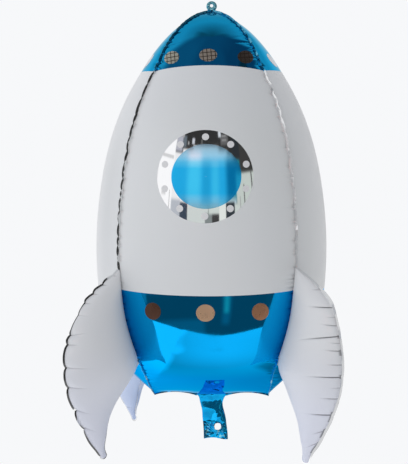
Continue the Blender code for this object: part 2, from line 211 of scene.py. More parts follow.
# Each fin's sealed outer edge: its sideways lean in degrees, then its width, both at some heights
FIN_EDGE = {
    "front_right": (
        ((-560, 0), (-840, 0), (-870, 5), (-938, 6)),
        ((-560, 4), (-620, 6), (-900, 6.5), (-938, 4)),
    ),
    "front_left": (
        ((-560, 15), (-822, 15), (-846, -6), (-938, -6)),
        ((-556, 4), (-618, 4), (-624, 1.5), (-672, 1.5), (-678, 4.4), (-932, 4)),
    ),
    "back_right": (((-560, 0),), ((-560, 4), (-938, 4))),
    "back_left": (((-560, 0),), ((-560, 4), (-938, 4))),
}
# Width of each fin's sealed inner edge, in millimetres, and over how many points the widths blend
INNER_EDGE = {"front_right": 1.4, "front_left": 1.4, "back_right": 1.4, "back_left": 3.0}
RIM_BLEND = 6

# Filling neck: height, centre across, half width
NECK_SECTIONS = (
    (-829, 0.5, 46), (-833, 0.7, 38), (-836.6, 0.9, 33), (-840, 1.0, 29.2), (-847, 0.2, 26), (-855, 0, 24.2),
    (-868, 2.4, 23.4), (-887, 5.4, 25.2), (-900, 6.8, 25.4), (-913, 8.2, 25.8), (-934, 9.2, 26.2),
)
NECK_HOLE = (12.4 * MM, -907 * MM, 7.6 * MM)

# The neck flops and folds: how far it stands back at each height, at five places across, in millimetres
NECK_ACROSS = (-24, -12, 0, 12, 28)
NECK_SWAY = (
    (-829, (0, 0, 0, 0, 0)),
    (-838, (0.6, 1.0, 1.5, 1.6, 1.0)),
    (-848, (2.2, 3.4, 5.2, 4.6, 3.4)),
    (-858, (3.6, 4.8, 6.2, 4.8, 6.0)),
    (-868, (4.8, 6.0, 6.3, 4.9, 7.4)),
    (-880, (5.6, 9.8, 10.2, 6.0, 7.0)),
    (-893, (6.6, 13.8, 14.4, 7.6, 7.4)),
    (-906, (7.8, 14.4, 14.6, 9.4, 8.0)),
    (-919, (9.6, 12.2, 11.4, 9.6, 9.6)),
    (-936, (11, 13.4, 13.4, 12.0, 11)),
)
HEM_WAVE = 1.6 * MM
# Below this height the neck's film carries painted pale glints in patches
PAINTED_GLINTS_BELOW = -900 * MM
PAINTED_GLINTS_FADE = 16 * MM
# The holes of the neck's two films don't quite meet
HOLE_SLIP = 1.5 * MM

TAB_RADIUS = 11.4 * MM
TAB_HOLE_RADIUS = 3.4 * MM
TAB_DROP = 3 * MM

# Width of the seams' sealed edge at distances from the nose, in millimetres, and its lean on the white film
SEAM_EDGE = (
    (0, 3.6), (40, 4.4), (120, 4.2), (190, 3.8), (215, 5.0),
    (330, 6.2), (600, 6.2), (640, 5.0), (670, 3.4), (980, 3.2),
)
SEAM_LEAN = math.radians(15)
# How much it ripples and sways, on the blue film and on the white film
BLUE_WAVES = (0.12, 0.24)
WHITE_WAVES = (0.015, 0.02)
# Thickness of a sealed edge, and the steps across one
EDGE_THICK = 0.3 * MM
STRIP_STEPS = 4
# Thickness of an ink layer
INK = 0.12 * MM
FACINGS = ("front", "right", "back", "left")

# Seams by their turn from the front: each lies between the panel of the same index and the next one
SEAMS = ("front_right", "back_right", "back_left", "front_left")

# Camera
CAMERA_FROM_AXIS = 2.4725
CAMERA_TURN = math.radians(2.8)
CAMERA_HEIGHT = -0.418
FOCAL_PIXELS = 1150
PHOTO_SIZE = (408, 464)
AXIS_PIXEL = 211.4
HORIZON_PIXEL = 200
KEYSTONE = 0.5
SENSOR = 36


class Curve:
    """Smooth curve through rows of values, with continuous curvature."""

    def __init__(self, at, rows):
        self.at = np.asarray(at, float)
        self.rows = np.asarray(rows, float)
        if self.rows.ndim == 1:
            self.rows = self.rows[:, None]
        n = len(self.at)
        gap = np.diff(self.at)
        slope = np.diff(self.rows, axis=0) / gap[:, None]
        system = np.eye(n)
        right = np.zeros((n, self.rows.shape[1]))
        for i in range(1, n - 1):
            system[i, i - 1 : i + 2] = gap[i - 1], 2 * (gap[i - 1] + gap[i]), gap[i]
            right[i] = 6 * (slope[i] - slope[i - 1])
        self.bend = np.linalg.solve(system, right)

    def __call__(self, x):
        x = np.asarray(x, float)
        i = np.clip(np.searchsorted(self.at, x, side="right") - 1, 0, len(self.at) - 2)
        gap = (self.at[i + 1] - self.at[i])[..., None]
        b = (x - self.at[i])[..., None] / gap
        a = 1 - b
        return (
            a * self.rows[i]
            + b * self.rows[i + 1]
            + ((a**3 - a) * self.bend[i] + (b**3 - b) * self.bend[i + 1]) * gap**2 / 6
        )


def chords(points):
    """Distance along a row of points, from its first."""
    steps = np.linalg.norm(np.diff(np.asarray(points, float), axis=0), axis=1)
    return np.concatenate(([0], np.cumsum(steps)))


def base_section(s):
    """Height, seam corner (x, y) and the two bulges of the panels below the waist, for s from 0 to 1."""
    _, radius, share = BODY_PROFILE[-1]
    _, upper_radius, upper_share = BODY_PROFILE[-2]
    corner = radius * share / math.sqrt(2)
    upper = upper_radius * upper_share / math.sqrt(2)
    lean = (corner - upper) / (BODY_PROFILE[-2, 0] - WAIST)
    start = np.array((corner, corner, WAIST))
    first = start + SEAL_START_DROP * np.array((lean * 1.15, lean * 1.15, -1))
    end = np.array((SEAL_HALF, 0.15 * MM, SEAL_Z))
    second = end + np.array(SEAL_APPROACH)
    u = 1 - s
    x, y, z = u**3 * start + 3 * u * u * s * first + 3 * u * s * s * second + s**3 * end
    bulge = radius - corner
    return z, x, y, bulge * math.cos(s * math.pi / 2), bulge * max(math.cos(s * math.pi / 2), 0) ** 1.5


def meridian():
    """Curve along a seam to height, corner (x, y) and both bulges, with its length and the waist's place."""
    rows = []
    for z, radius, share in BODY_PROFILE:
        corner = radius * share / math.sqrt(2)
        rows.append((z, corner, corner, radius - corner, radius - corner))
    rows += [base_section(s) for s in BASE_STEPS]
    at = chords([row[:3] for row in rows])
    return Curve(at, rows), at[-1], at[len(BODY_PROFILE) - 1]


SECTION, LENGTH, WAIST_AT = meridian()
_fine = np.linspace(0, WAIST_AT, 3000)
_fine_z = SECTION(_fine)[:, 0]


def along(z):
    """Distance along the panel at which it reaches height z, above the waist."""
    return np.interp(-np.asarray(z, float), -_fine_z, _fine)


def arc(facing, at):
    """Chord half, seat distance, bulge, radius and half angle of a panel's section at a distance along it."""
    z, corner_x, corner_y, bulge_y, bulge_x = np.moveaxis(SECTION(at), -1, 0)
    half, seat, bulge = (corner_x, corner_y, bulge_y) if facing % 2 == 0 else (corner_y, corner_x, bulge_x)
    bulge = np.maximum(bulge, 0.02 * MM)
    half = np.maximum(half, 0.05 * MM)
    radius = (half * half + bulge * bulge) / (2 * bulge)
    return z, half, seat, bulge, radius, 2 * np.arctan2(bulge, half)


def turned(facing, across, out, z):
    x, y = ((across, -out), (out, across), (-across, out), (-out, -across))[facing]
    return np.stack(np.broadcast_arrays(x, y, z), axis=-1)


def smooth_film(facing, t, at):
    """A panel's film without its creases."""
    z, _, seat, bulge, radius, angle = arc(facing, at)
    return turned(facing, radius * np.sin(angle * t), seat + bulge - radius * (1 - np.cos(angle * t)), z)


def normals_of(surface, t, at):
    """Outward normals of surface(t, at), from its slopes."""
    dt, da = 0.002, 0.4 * MM
    across = surface(t + dt, at) - surface(t - dt, at)
    down = surface(t, at + da) - surface(t, at - da)
    normal = np.cross(down, across)
    return normal / np.maximum(np.linalg.norm(normal, axis=-1, keepdims=True), 1e-12)


class Creases:
    """Puckers along one seam: it is drawn in at each, and a crease runs from there into the film."""

    # distance along the seam, usual spacing, how far the seam is drawn in, crease depth, reach into the film
    ZONES = (
        (0, 7, 0.7, 0.3, 4),
        (40, 10, 1.2, 0.4, 6),
        (130, 14, 1.8, 0.5, 8),
        (215, 24, 3.4, 0.5, 8),
        (560, 26, 3.4, 0.5, 9),
        (640, 16, 1.6, 0.9, 16),
        (830, 12, 1.4, 0.9, 20),
        (930, 11, 1.2, 0.7, 16),
    )

    def __init__(self, seed, heights, long_creases):
        draw = np.random.default_rng(seed)
        starts, spacing, *kinds = np.transpose(self.ZONES) * MM
        set_places = [float(along(z * MM)) for z in heights]
        places = []
        at = 12 * MM
        while at < LENGTH - 8 * MM:
            if set_places and set_places[0] - 6 * MM < at < set_places[-1] + 6 * MM:
                at = set_places[-1] + 8 * MM
                places += set_places
                continue
            places.append(at)
            at += np.interp(at, starts, spacing) * draw.uniform(0.6, 1.45)
        places = np.array(places)
        gaps = np.gradient(places)
        rows = []
        for place, gap in zip(places, gaps):
            inward, depth, reach = (np.interp(place, starts, kind) for kind in kinds)
            rows.append(
                (
                    place,
                    0.30 * gap,
                    inward * draw.uniform(0.6, 1.25) * min(1, gap / (12 * MM)),
                    depth * draw.uniform(0.4, 1.4),
                    reach * draw.uniform(0.5, 1.6),
                    draw.uniform(-0.2, 0.2),
                )
            )
        for z, side, depth, reach, slant in long_creases:
            rows.append((float(along(z * MM)), 1 * MM, 0, depth * MM, reach * MM * side, slant))
        self.rows = rows
        knots = np.arange(0, LENGTH + 40 * MM, 13 * MM)
        self.sway = Curve(knots, draw.normal(0, 1, len(knots)))
        knots = np.arange(0, LENGTH + 20 * MM, 4 * MM)
        self.ripple = Curve(knots, draw.normal(0, 1, len(knots)))

    def dent(self, at, away, side):
        """Depth of the puckers at a distance along the seam and away from it, on one side of it."""
        total = np.zeros(np.broadcast(at, away).shape)
        near = np.exp(-((away / (9 * MM)) ** 1.2))
        for place, width, inward, depth, reach, slant in self.rows:
            if inward:
                total += inward * np.exp(-np.abs(at - place) / width) * near
            if reach < 0 and side > 0 or reach > 0 and not inward and side < 0:
                continue
            crease_width = 1.3 * MM + 0.07 * away
            shift = np.abs(at - place - slant * side * away) / crease_width
            total += depth * np.exp(-shift) * np.exp(-((away / abs(reach)) ** 1.6))
        return total

    def side_sway(self, at):
        return self.sway(at)[..., 0] * 0.35 * MM * np.clip(at / (80 * MM), 0.15, 1)


# Puckers of the two front seams at set heights, and longer creases: height, side of the seam, depth, reach
# and slant
SEAM_HEIGHTS = {
    "front_right": (-176, -203, -227, -251, -281, -312.5, -350, -383, -429, -458, -498, -517),
    "front_left": (
        -157, -182, -212, -246, -264, -291, -320, -342, -375, -398, -412, -438, -464, -490, -508, -530,
    ),
    "back_right": (),
    "back_left": (),
}
LONG_CREASES = {
    "front_right": (
        (-370, 1, 1.4, 26, 0.0),
        (-432, 1, 1.8, 22, -0.05),
        (-463, 1, 1.4, 14, 0.0),
        (-566, 1, 2.0, 22, 0.05),
        (-574, 1, 3.2, 28, 0.08),
        (-582, 1, 3.4, 26, 0.05),
        (-592, 1, 2.8, 20, 0.0),
        (-42, 1, 0.8, 12, 0.3),
        (-52, 1, 1.0, 18, 0.4),
        (-61, 1, 0.6, 12, 0.3),
        (-76, 1, 1.0, 17, 0.3),
        (-92, 1, 1.7, 26, 0.1),
        (-103, 1, 0.8, 11, 0.3),
        (-112, 1, 1.2, 19, 0.35),
        (-126, 1, 1.4, 20, 0.15),
    ),
    "front_left": ((-70, -1, 1.0, 16, 0.2), (-100, -1, 1.0, 16, 0.2)),
    "back_right": (),
    "back_left": (),
}
SEAM_SEEDS = (11, 23, 37, 53)
CREASES = [Creases(seed, SEAM_HEIGHTS[place], LONG_CREASES[place]) for seed, place in zip(SEAM_SEEDS, SEAMS)]

# The closing seal below rises between its corners and the neck
SEAL_RISE = 7 * MM
SEAL_WIDTH = 3.2 * MM
NECK_HALF = 34 * MM


def seal_rise(x):
    share = np.clip((np.abs(x) - NECK_HALF) / (SEAL_HALF - NECK_HALF), 0, 1)
    return SEAL_RISE * np.sin(math.pi * share) ** 0.8


# Folds in the front tail panel: ends (x, z), depth and half width, in millimetres
TAIL_FOLDS = (
    ((-53, -680), (-101, -776), -0.5, 7),
    ((-143, -728), (-108, -736), 0.7, 5),
)


def tail_fold(x, z):
    """Depth of the tail's folds at a place, as seen from the front."""
    total = np.zeros(np.shape(x))
    for start, end, depth, half in TAIL_FOLDS:
        start, end = np.array(start) * MM, np.array(end) * MM
        way = end - start
        share = ((x - start[0]) * way[0] + (z - start[1]) * way[1]) / (way @ way)
        aside = np.abs((x - start[0]) * way[1] - (z - start[1]) * way[0]) / np.linalg.norm(way)
        aside = np.hypot(aside, 2.5 * MM)
        total = total + depth * MM * np.exp(-aside / (half * MM)) * np.exp(-np.abs(2 * share - 1) ** 4)
    return total


def seam_directions(seam):
    """A seam's direction away from the axis, and the one sideways of it."""
    turn = math.radians(45 + 90 * seam)
    return np.array((math.sin(turn), -math.cos(turn), 0)), np.array((math.cos(turn), math.sin(turn), 0))


def film(facing, t, at, lift=0.0):
    """A panel's film with its puckers, lifted off itself by the thickness of an ink layer."""
    t, at = np.broadcast_arrays(np.asarray(t, float), np.asarray(at, float))
    inside = np.clip(t, -1, 1)
    points = smooth_film(facing, t, at)
    normal = normals_of(lambda a, b: smooth_film(facing, a, b), inside, at)
    _, _, _, _, radius, angle = arc(facing, at)
    for side in (1, -1):
        seam = facing if side == 1 else (facing + 3) % 4
        away = (1 - side * inside) * radius * angle
        radial, sideways = seam_directions(seam)
        near = np.exp(-away / (12 * MM))[..., None]
        out = normal * (1 - near) + radial * near
        points = points - out * CREASES[seam].dent(at, away, side)[..., None]
        points = points + sideways * (CREASES[seam].side_sway(at) * np.exp(-away / (22 * MM)))[..., None]
    if facing % 2 == 0:
        rise = seal_rise(points[..., 0]) * np.exp(-(LENGTH - at) / (16 * MM))
        points = points + rise[..., None] * (0, 0, 1)
    if facing == 0:
        points = points - normal * tail_fold(points[..., 0], points[..., 2])[..., None]
    return points + normal * lift


def seam_line(seam, at):
    """The seam's own line, where the films of its two panels meet."""
    return film(seam, np.ones_like(at), at)


def mesh_object(name, points, faces, material, normals=None, flat=False):
    mesh = bpy.data.meshes.new(name)
    points = np.asarray(points, float).reshape(-1, 3)
    mesh.from_pydata(points.tolist(), [], faces)
    if not flat:
        mesh.shade_smooth()
    if normals is not None:
        mesh.normals_split_custom_set_from_vertices(np.asarray(normals).reshape(-1, 3).tolist())
    mesh.materials.append(material)
    piece = bpy.data.objects.new(name, mesh)
    bpy.context.scene.collection.objects.link(piece)
    return piece


def grid_faces(rows, columns, around=False):
    faces = []
    for r in range(rows - 1):
        for c in range(columns if around else columns - 1):
            n = (c + 1) % columns
            faces.append((r * columns + c, (r + 1) * columns + c, (r + 1) * columns + n, r * columns + n))
    return faces


def film_piece(name, facing, t, at, material, lift=0.0, around=False):
    """A piece of a panel's film over a grid of places, whose rows can close round a middle."""

    def surface(a, b):
        return film(facing, a, b, lift)

    points = surface(t, at)
    normals = normals_of(surface, np.clip(t, -0.998, 0.998), at)
    faces = grid_faces(*points.shape[:2], around)
    if around:
        faces = [face[::-1] for face in faces]
    return mesh_object(name, points, faces, material, normals)


def seam_spaced(count):
    """Values from -1 to 1, closer together at both ends."""
    u = np.linspace(-1, 1, count)
    return 0.25 * u + 0.75 * np.sin(u * math.pi / 2)


# Materials

# Lattice on the nose's dots: pitch, lean (shift of x with height, of height with x) and tone of its lines
LATTICE_PITCH = 8.4 * MM
LATTICE_SLANT = (0.12, -0.10)
LATTICE_TONE = (0.05, 0.032, 0.02)

# Tones by height, each at a share of the way up: the fins' print, in painted bluish shade towards their
# tips, the back left fin's, in deeper painted bluish shade, and the pane's
FIN_TONE_HEIGHTS = (-0.94, -0.60)
# The fins' print in painted bluish shade towards their tips
FIN_TONES = (
    (0.0, (0.69, 0.71, 0.82)),
    (0.3, (0.71, 0.73, 0.82)),
    (0.7, (0.78, 0.79, 0.81)),
    (1.0, (0.80, 0.81, 0.82)),
)
# The back left fin's print in painted bluish shade, deepest towards its tip
SHADED_FIN_TONES = (
    (0.0, (0.50, 0.58, 0.80)),
    (0.3, (0.55, 0.64, 0.84)),
    (1.0, (0.78, 0.80, 0.84)),
)
PANE_TONES = (
    (0.00, (0.24, 0.54, 0.70)),
    (0.10, (0.09, 0.48, 0.77)),
    (0.24, (0.012, 0.43, 0.82)),
    (0.62, (0.012, 0.43, 0.82)),
    (0.72, (0.08, 0.52, 0.84)),
    (0.82, (0.31, 0.64, 0.86)),
    (0.93, (0.37, 0.62, 0.78)),
    (1.00, (0.42, 0.64, 0.80)),
)
# Painted shade in the fins' creases and along their outer edges
CREASE_SHADE_TONE = (0.10, 0.10, 0.11)
# Part of a noise's range that most of it fills
NOISE_SPAN = (0.3, 0.7)


def settle(node, values):
    for socket, value in values.items():
        node.inputs[socket].default_value = value


def new_material(name, values):
    """Material whose shader starts with the given values."""
    material = bpy.data.materials.new(name)
    material.use_nodes = True
    tree = material.node_tree
    shader = tree.nodes["Principled BSDF"]
    settle(shader, values)
    return material, tree, shader


def math_node(tree, operation, *values, clamp=False):
    made = tree.nodes.new("ShaderNodeMath")
    made.operation = operation
    made.use_clamp = clamp
    for k, value in enumerate(values):
        if isinstance(value, bpy.types.NodeSocket):
            tree.links.new(value, made.inputs[k])
        else:
            made.inputs[k].default_value = value
    return made.outputs[0]


def mix_colour(tree, factor, first, second):
    made = tree.nodes.new("ShaderNodeMix")
    made.data_type = "RGBA"
    for socket, value in ((made.inputs[0], factor), (made.inputs[6], first), (made.inputs[7], second)):
        if isinstance(value, bpy.types.NodeSocket):
            tree.links.new(value, socket)
        else:
            socket.default_value = (*value, 1)
    return made.outputs[2]


def axes_of(tree, output="Object"):
    """Coordinates of the point being shaded, one output per axis."""
    place = tree.nodes.new("ShaderNodeTexCoord")
    axes = tree.nodes.new("ShaderNodeSeparateXYZ")
    tree.links.new(place.outputs[output], axes.inputs[0])
    return axes.outputs


def noise(tree, scale, detail=2.0):
    place = tree.nodes.new("ShaderNodeTexCoord")
    made = tree.nodes.new("ShaderNodeTexNoise")
    settle(made, {"Scale": scale, "Detail": detail})
    tree.links.new(place.outputs["Object"], made.inputs["Vector"])
    return made.outputs["Fac"]


def ranged(tree, value, given, wanted=(0, 1)):
    """A value carried from one range to another."""
    made = tree.nodes.new("ShaderNodeMapRange")
    settle(made, dict(zip(("From Min", "From Max", "To Min", "To Max"), (*given, *wanted))))
    tree.links.new(value, made.inputs["Value"])
    return made.outputs["Result"]


def varied(tree, source, low, high, target):
    """Drives an input between two values by a noise."""
    tree.links.new(ranged(tree, source, NOISE_SPAN, (low, high)), target)


def bumped(tree, source, strength, distance, shader):
    bump = tree.nodes.new("ShaderNodeBump")
    settle(bump, {"Strength": strength, "Distance": distance})
    tree.links.new(source, bump.inputs["Height"])
    tree.links.new(bump.outputs["Normal"], shader.inputs["Normal"])


def height_ramp(tree, low, high, stops):
    """Colour by height: stops are shares of the way from low to high, each with its colour."""
    ramp = tree.nodes.new("ShaderNodeValToRGB")
    elements = ramp.color_ramp.elements
    while len(elements) < len(stops):
        elements.new(0.5)
    for element, (where, colour) in zip(elements, stops):
        element.position = where
        element.color = (*colour, 1)
    tree.links.new(ranged(tree, axes_of(tree)["Z"], (low, high)), ramp.inputs["Fac"])
    return ramp.outputs["Color"]


def foil(name, dark, light, roughness, bump, edge=(1, 1, 1)):
    """Metallised film: nearly a mirror, with a faint unevenness, and its tint at grazing angles."""
    material, tree, shader = new_material(name, {"Metallic": 1.0, "Specular Tint": (*edge, 1)})
    tree.links.new(mix_colour(tree, noise(tree, 9), dark, light), shader.inputs["Base Color"])
    varied(tree, noise(tree, 24, 4), roughness * 0.7, roughness * 1.4, shader.inputs["Roughness"])
    bumped(tree, noise(tree, 14, 1), bump, 2 * MM, shader)
    return material


def creased_foil(name, dark, light, roughness, painted_glints=None, coat=1.0, metallic=0.8):
    """Film crumpled all over, which scatters part of the light. Near its lower end it can carry painted pale
    glints in patches.
    """
    start = {"Metallic": metallic, "Coat Weight": coat, "Coat Roughness": 0.06}
    material, tree, shader = new_material(name, start)
    varied(tree, noise(tree, 50, 4), roughness * 0.6, roughness * 1.5, shader.inputs["Roughness"])
    bumped(tree, noise(tree, 70, 2), 0.2, 1 * MM, shader)
    colour = mix_colour(tree, noise(tree, 60, 3), dark, light)
    if painted_glints:
        # Painted pale glints in patches towards the lower end
        height = axes_of(tree)["Z"]
        low = math_node(tree, "MULTIPLY_ADD", height, -1 / PAINTED_GLINTS_FADE, PAINTED_GLINTS_BELOW / PAINTED_GLINTS_FADE, clamp=True)
        patches = math_node(tree, "MULTIPLY_ADD", noise(tree, 150, 3), 9.0, -4.8, clamp=True)
        colour = mix_colour(tree, math_node(tree, "MULTIPLY", patches, low), colour, painted_glints)
    tree.links.new(colour, shader.inputs["Base Color"])
    return material


def white_ink(name, dark, light, roughness):
    """White print over metallised film: satin, with a soft second gloss."""
    start = {"Specular IOR Level": 0.5, "Coat Weight": 0.25, "Coat Roughness": 0.28}
    material, tree, shader = new_material(name, start)
    tree.links.new(mix_colour(tree, noise(tree, 3), dark, light), shader.inputs["Base Color"])
    varied(tree, noise(tree, 30, 4), roughness * 0.85, roughness * 1.15, shader.inputs["Roughness"])
    bumped(tree, noise(tree, 8, 1), 0.10, 2 * MM, shader)
    return material


def fin_ink(name, stops):
    """The fins' white print, in painted bluish shade towards their tips and with painted shade in the
    creases.
    """
    material = white_ink(name, (0.76, 0.77, 0.78), (0.80, 0.81, 0.82), 0.42)
    tree = material.node_tree
    # Painted shade along the creases, read from the film
    crease_shade = tree.nodes.new("ShaderNodeAttribute")
    crease_shade.attribute_name = "crease_shade"
    colour = mix_colour(tree, crease_shade.outputs["Fac"], height_ramp(tree, *FIN_TONE_HEIGHTS, stops), CREASE_SHADE_TONE)
    tree.links.new(colour, tree.nodes["Principled BSDF"].inputs["Base Color"])
    return material


def pane_ink(name):
    """Sky blue print over metallised film, fading to pale at the top and a little at the bottom."""
    material, tree, shader = new_material(name, {"Metallic": 0.85})
    varied(tree, noise(tree, 30, 3), 0.09, 0.12, shader.inputs["Roughness"])
    colour = height_ramp(tree, PORTHOLE_Z - PANE_HALF[1], PORTHOLE_Z + PANE_HALF[1], PANE_TONES)
    tree.links.new(colour, shader.inputs["Base Color"])
    return material


def copper_ink(name, tone, lattice):
    """Metallic print. The nose's dots carry a fine lattice of darker lines."""
    material, tree, shader = new_material(name, {"Metallic": 0.6})
    varied(tree, noise(tree, 40, 3), 0.22, 0.34, shader.inputs["Roughness"])
    # The dot's tone is a lit or shaded copy of its row's print: painted light.
    colour = mix_colour(tree, noise(tree, 30), *DOT_TONES[tone])
    if lattice:
        axes = axes_of(tree, "UV")
        lines = []
        for k in range(2):
            share = math_node(tree, "FRACT", math_node(tree, "MULTIPLY", axes[k], 1 / LATTICE_PITCH))
            part = math_node(tree, "ABSOLUTE", math_node(tree, "SUBTRACT", share, 0.5))
            lines.append(math_node(tree, "MULTIPLY_ADD", part, 14.0, -5.2, clamp=True))
        colour = mix_colour(tree, math_node(tree, "MAXIMUM", *lines), colour, LATTICE_TONE)
    tree.links.new(colour, shader.inputs["Base Color"])
    return material


WHITE = white_ink("white_film", (0.745, 0.765, 0.755), (0.775, 0.785, 0.81), 0.42)
FIN_WHITE = fin_ink("fin_film", FIN_TONES)
# The back left fin's print, in painted shade
SHADED_FIN_WHITE = fin_ink("shaded_fin_film", SHADED_FIN_TONES)
RIVET_WHITE = white_ink("rivet_ink", (0.74, 0.74, 0.75), (0.80, 0.80, 0.80), 0.5)
BLUE = foil("blue_film", (0.010, 0.38, 0.76), (0.014, 0.42, 0.83), 0.055, bump=0.06, edge=(0.50, 0.78, 0.80))
TAIL_BLUE = foil(
    "tail_blue_film", (0.002, 0.37, 0.83), (0.004, 0.41, 0.90), 0.055, bump=0.08, edge=(0.04, 0.64, 0.95)
)
SEAM_BLUE = creased_foil("seam_blue_film", (0.004, 0.26, 0.46), (0.08, 0.52, 0.72), 0.2)
CRUMPLED_BLUE = foil("crumpled_blue_film", (0.004, 0.38, 0.76), (0.02, 0.44, 0.84), 0.14, bump=0.3)
# The neck's pale patches near its hem are painted glints.
NECK_BLUE = creased_foil(
    "neck_film", (0.0, 0.26, 0.66), (0.0, 0.52, 1.0), 0.10, painted_glints=(0.30, 0.78, 0.88), coat=0.08, metallic=0.92
)
PALE_BLUE = creased_foil("tab_film", (0.08, 0.46, 0.60), (0.34, 0.80, 0.88), 0.20)
SILVER = foil("silver_film", (0.86, 0.87, 0.88), (0.93, 0.93, 0.94), 0.035, bump=0.05)
EDGE = foil("seam_film", (0.78, 0.79, 0.80), (0.88, 0.89, 0.90), 0.08, bump=0.06)
DOTS = {tone: copper_ink(f"{tone}_dot_film", tone, tone in LATTICED_TONES) for tone in DOT_TONES}
PANE = pane_ink("pane_film")


def ride(piece, slot, *replaced):
    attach(piece, "root")
    if replaced:
        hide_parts(*replaced)
    return piece


# Envelope

ACROSS = 84
t_row = seam_spaced(ACROSS + 1)[None, :]


def zone(start, end, rows):
    """Grid of places between two printed lines, each a height at the middle and its shift at the seams."""
    top = along(start[0] + start[1] * t_row**2) if start else np.zeros_like(t_row)
    bottom = along(end[0] + end[1] * t_row**2) if end else np.full_like(t_row, LENGTH)
    return top + (bottom - top) * np.linspace(0, 1, rows + 1)[:, None]


def build_envelope():
    zones = (
        # name, upper line, lower line, rows, material, slot
        ("nose", None, NOSE_LINE, 140, BLUE, "blue_film"),
        ("body", NOSE_LINE, TAIL_LINE, 260, WHITE, "white_film"),
        ("tail", TAIL_LINE, None, 160, TAIL_BLUE, "blue_film"),
    )
    for facing, side in enumerate(FACINGS):
        for name, start, end, rows, material, slot in zones:
            at = zone(start, end, rows)
            t = np.broadcast_to(t_row, at.shape)
            piece = film_piece(f"{name}_film_{side}", facing, t, at, material)
            ride(piece, slot, f"{name}_panel_{side}")


def porthole_places(centres, half_inner, half_outer, rings, steps):
    """Grid of places between two ellipses of the porthole, whose centres lie a little aside, seen along Y."""
    angle = np.linspace(0, 2 * math.pi, steps, endpoint=False)[None, :]
    v = np.linspace(0, 1, rings + 1)[:, None]
    half_x = half_inner[0] + (half_outer[0] - half_inner[0]) * v
    half_z = half_inner[1] + (half_outer[1] - half_inner[1]) * v
    centre_x = centres[0] + (centres[1] - centres[0]) * v
    return centre_x + half_x * np.sin(angle), PORTHOLE_Z + half_z * np.cos(angle)


def places_at(facing, x, z):
    """Places on a front or back panel that lie at x and z as seen along Y."""
    at = along(z)
    _, _, _, _, radius, angle = arc(facing, at)
    return np.arcsin(np.clip(x / radius, -1, 1)) / angle, at


def ring_piece(name, facing, places, material, lift):
    return film_piece(name, facing, *places, material, lift, around=True)


def disc_places(facing, angle, z, radius, rings=7, steps=36):
    """Places of a dot on a panel, laid out along the film itself. Its radius is given across and along."""
    spin = np.linspace(0, 2 * math.pi, steps, endpoint=False)[None, :]
    reach = np.linspace(0.02, 1, rings + 1)[:, None]
    at = along(z) - reach * radius[1] * np.cos(spin)
    _, _, _, _, arc_radius, half_angle = arc(facing, at)
    _, _, _, _, middle_radius, _ = arc(facing, along(z))
    across = middle_radius * math.radians(angle) + reach * radius[0] * np.sin(spin)
    return across / (arc_radius * half_angle), at


def lay_flat(piece, facing):
    """Gives a small print map coordinates in metres, as seen square on to its panel."""
    across, sign = ((0, 1), (1, 1), (0, -1), (1, -1))[facing]
    layer = piece.data.uv_layers.new(name="print")
    for loop in piece.data.loops:
        place = piece.data.vertices[loop.vertex_index].co
        x = place[across] * sign
        layer.data[loop.index].uv = (x + LATTICE_SLANT[0] * place.z, place.z + LATTICE_SLANT[1] * x)


def build_prints():
    for facing in (0, 2):
        side = FACINGS[facing]
        x, z = porthole_places((PANE_X, RING_X), PANE_HALF, RING_HALF, 12, 160)
        ring = ring_piece(f"porthole_ring_film_{side}", facing, places_at(facing, x, z), SILVER, INK)
        ride(ring, "silver_film", f"porthole_ring_{side}")
        x, z = porthole_places((PANE_X, PANE_X), (0.4 * MM, 0.4 * MM), PANE_HALF, 26, 160)
        pane = ring_piece(f"porthole_pane_film_{side}", facing, places_at(facing, x, z), PANE, INK)
        ride(pane, "pane_film", f"porthole_pane_{side}")
        for k in range(RIVETS):
            spin = 2 * math.pi * k / RIVETS
            centre_x = RIVET_X + RIVET_HALF[0] * math.sin(spin)
            centre_z = PORTHOLE_Z + RIVET_HALF[1] * math.cos(spin)
            t, at = places_at(facing, np.array([centre_x]), np.array([centre_z]))
            _, _, _, _, _, half_angle = arc(facing, at)
            angle = math.degrees(float(t[0] * half_angle[0]))
            places = disc_places(facing, angle, centre_z, RIVET_RADIUS, 4, 24)
            rivet = ring_piece(f"rivet_{side}_{k}", facing, places, RIVET_WHITE, 2 * INK)
            ride(rivet, "white_film")
    for row, (radius, z, drop, front_dots, side_dots) in DOT_ROWS.items():
        for facing, side in enumerate(FACINGS):
            for k, (angle, tone) in enumerate(side_dots if facing % 2 else front_dots):
                places = disc_places(facing, angle, z - drop * (angle / 30) ** 2, radius)
                dot = ring_piece(f"{row}_dot_{side}_{k}", facing, places, DOTS[tone], INK)
                ride(dot, "seam_film")
                lay_flat(dot, facing)


def strip(name, line, outward, width, material):
    """Closed flat strip that stands out of a line of points along their outward directions."""
    tangent = np.gradient(line, axis=0)
    tangent /= np.linalg.norm(tangent, axis=1, keepdims=True)
    flat = np.cross(tangent, outward)
    flat /= np.linalg.norm(flat, axis=1, keepdims=True)
    shares = np.linspace(0, 1, STRIP_STEPS + 1)
    rings = []
    for side in (1, -1):
        for share in shares[::side]:
            rings.append(line + outward * (width * share) + flat * (side * EDGE_THICK / 2))
    points = np.stack(rings, axis=1)
    rows, columns = points.shape[:2]
    faces = grid_faces(rows, columns, around=True)
    faces.append(tuple(range(columns)))
    faces.append(tuple(range((rows - 1) * columns, rows * columns))[::-1])
    piece = mesh_object(name, points, faces, material)
    piece.data.set_sharp_from_angle(angle=math.radians(50))
    return piece


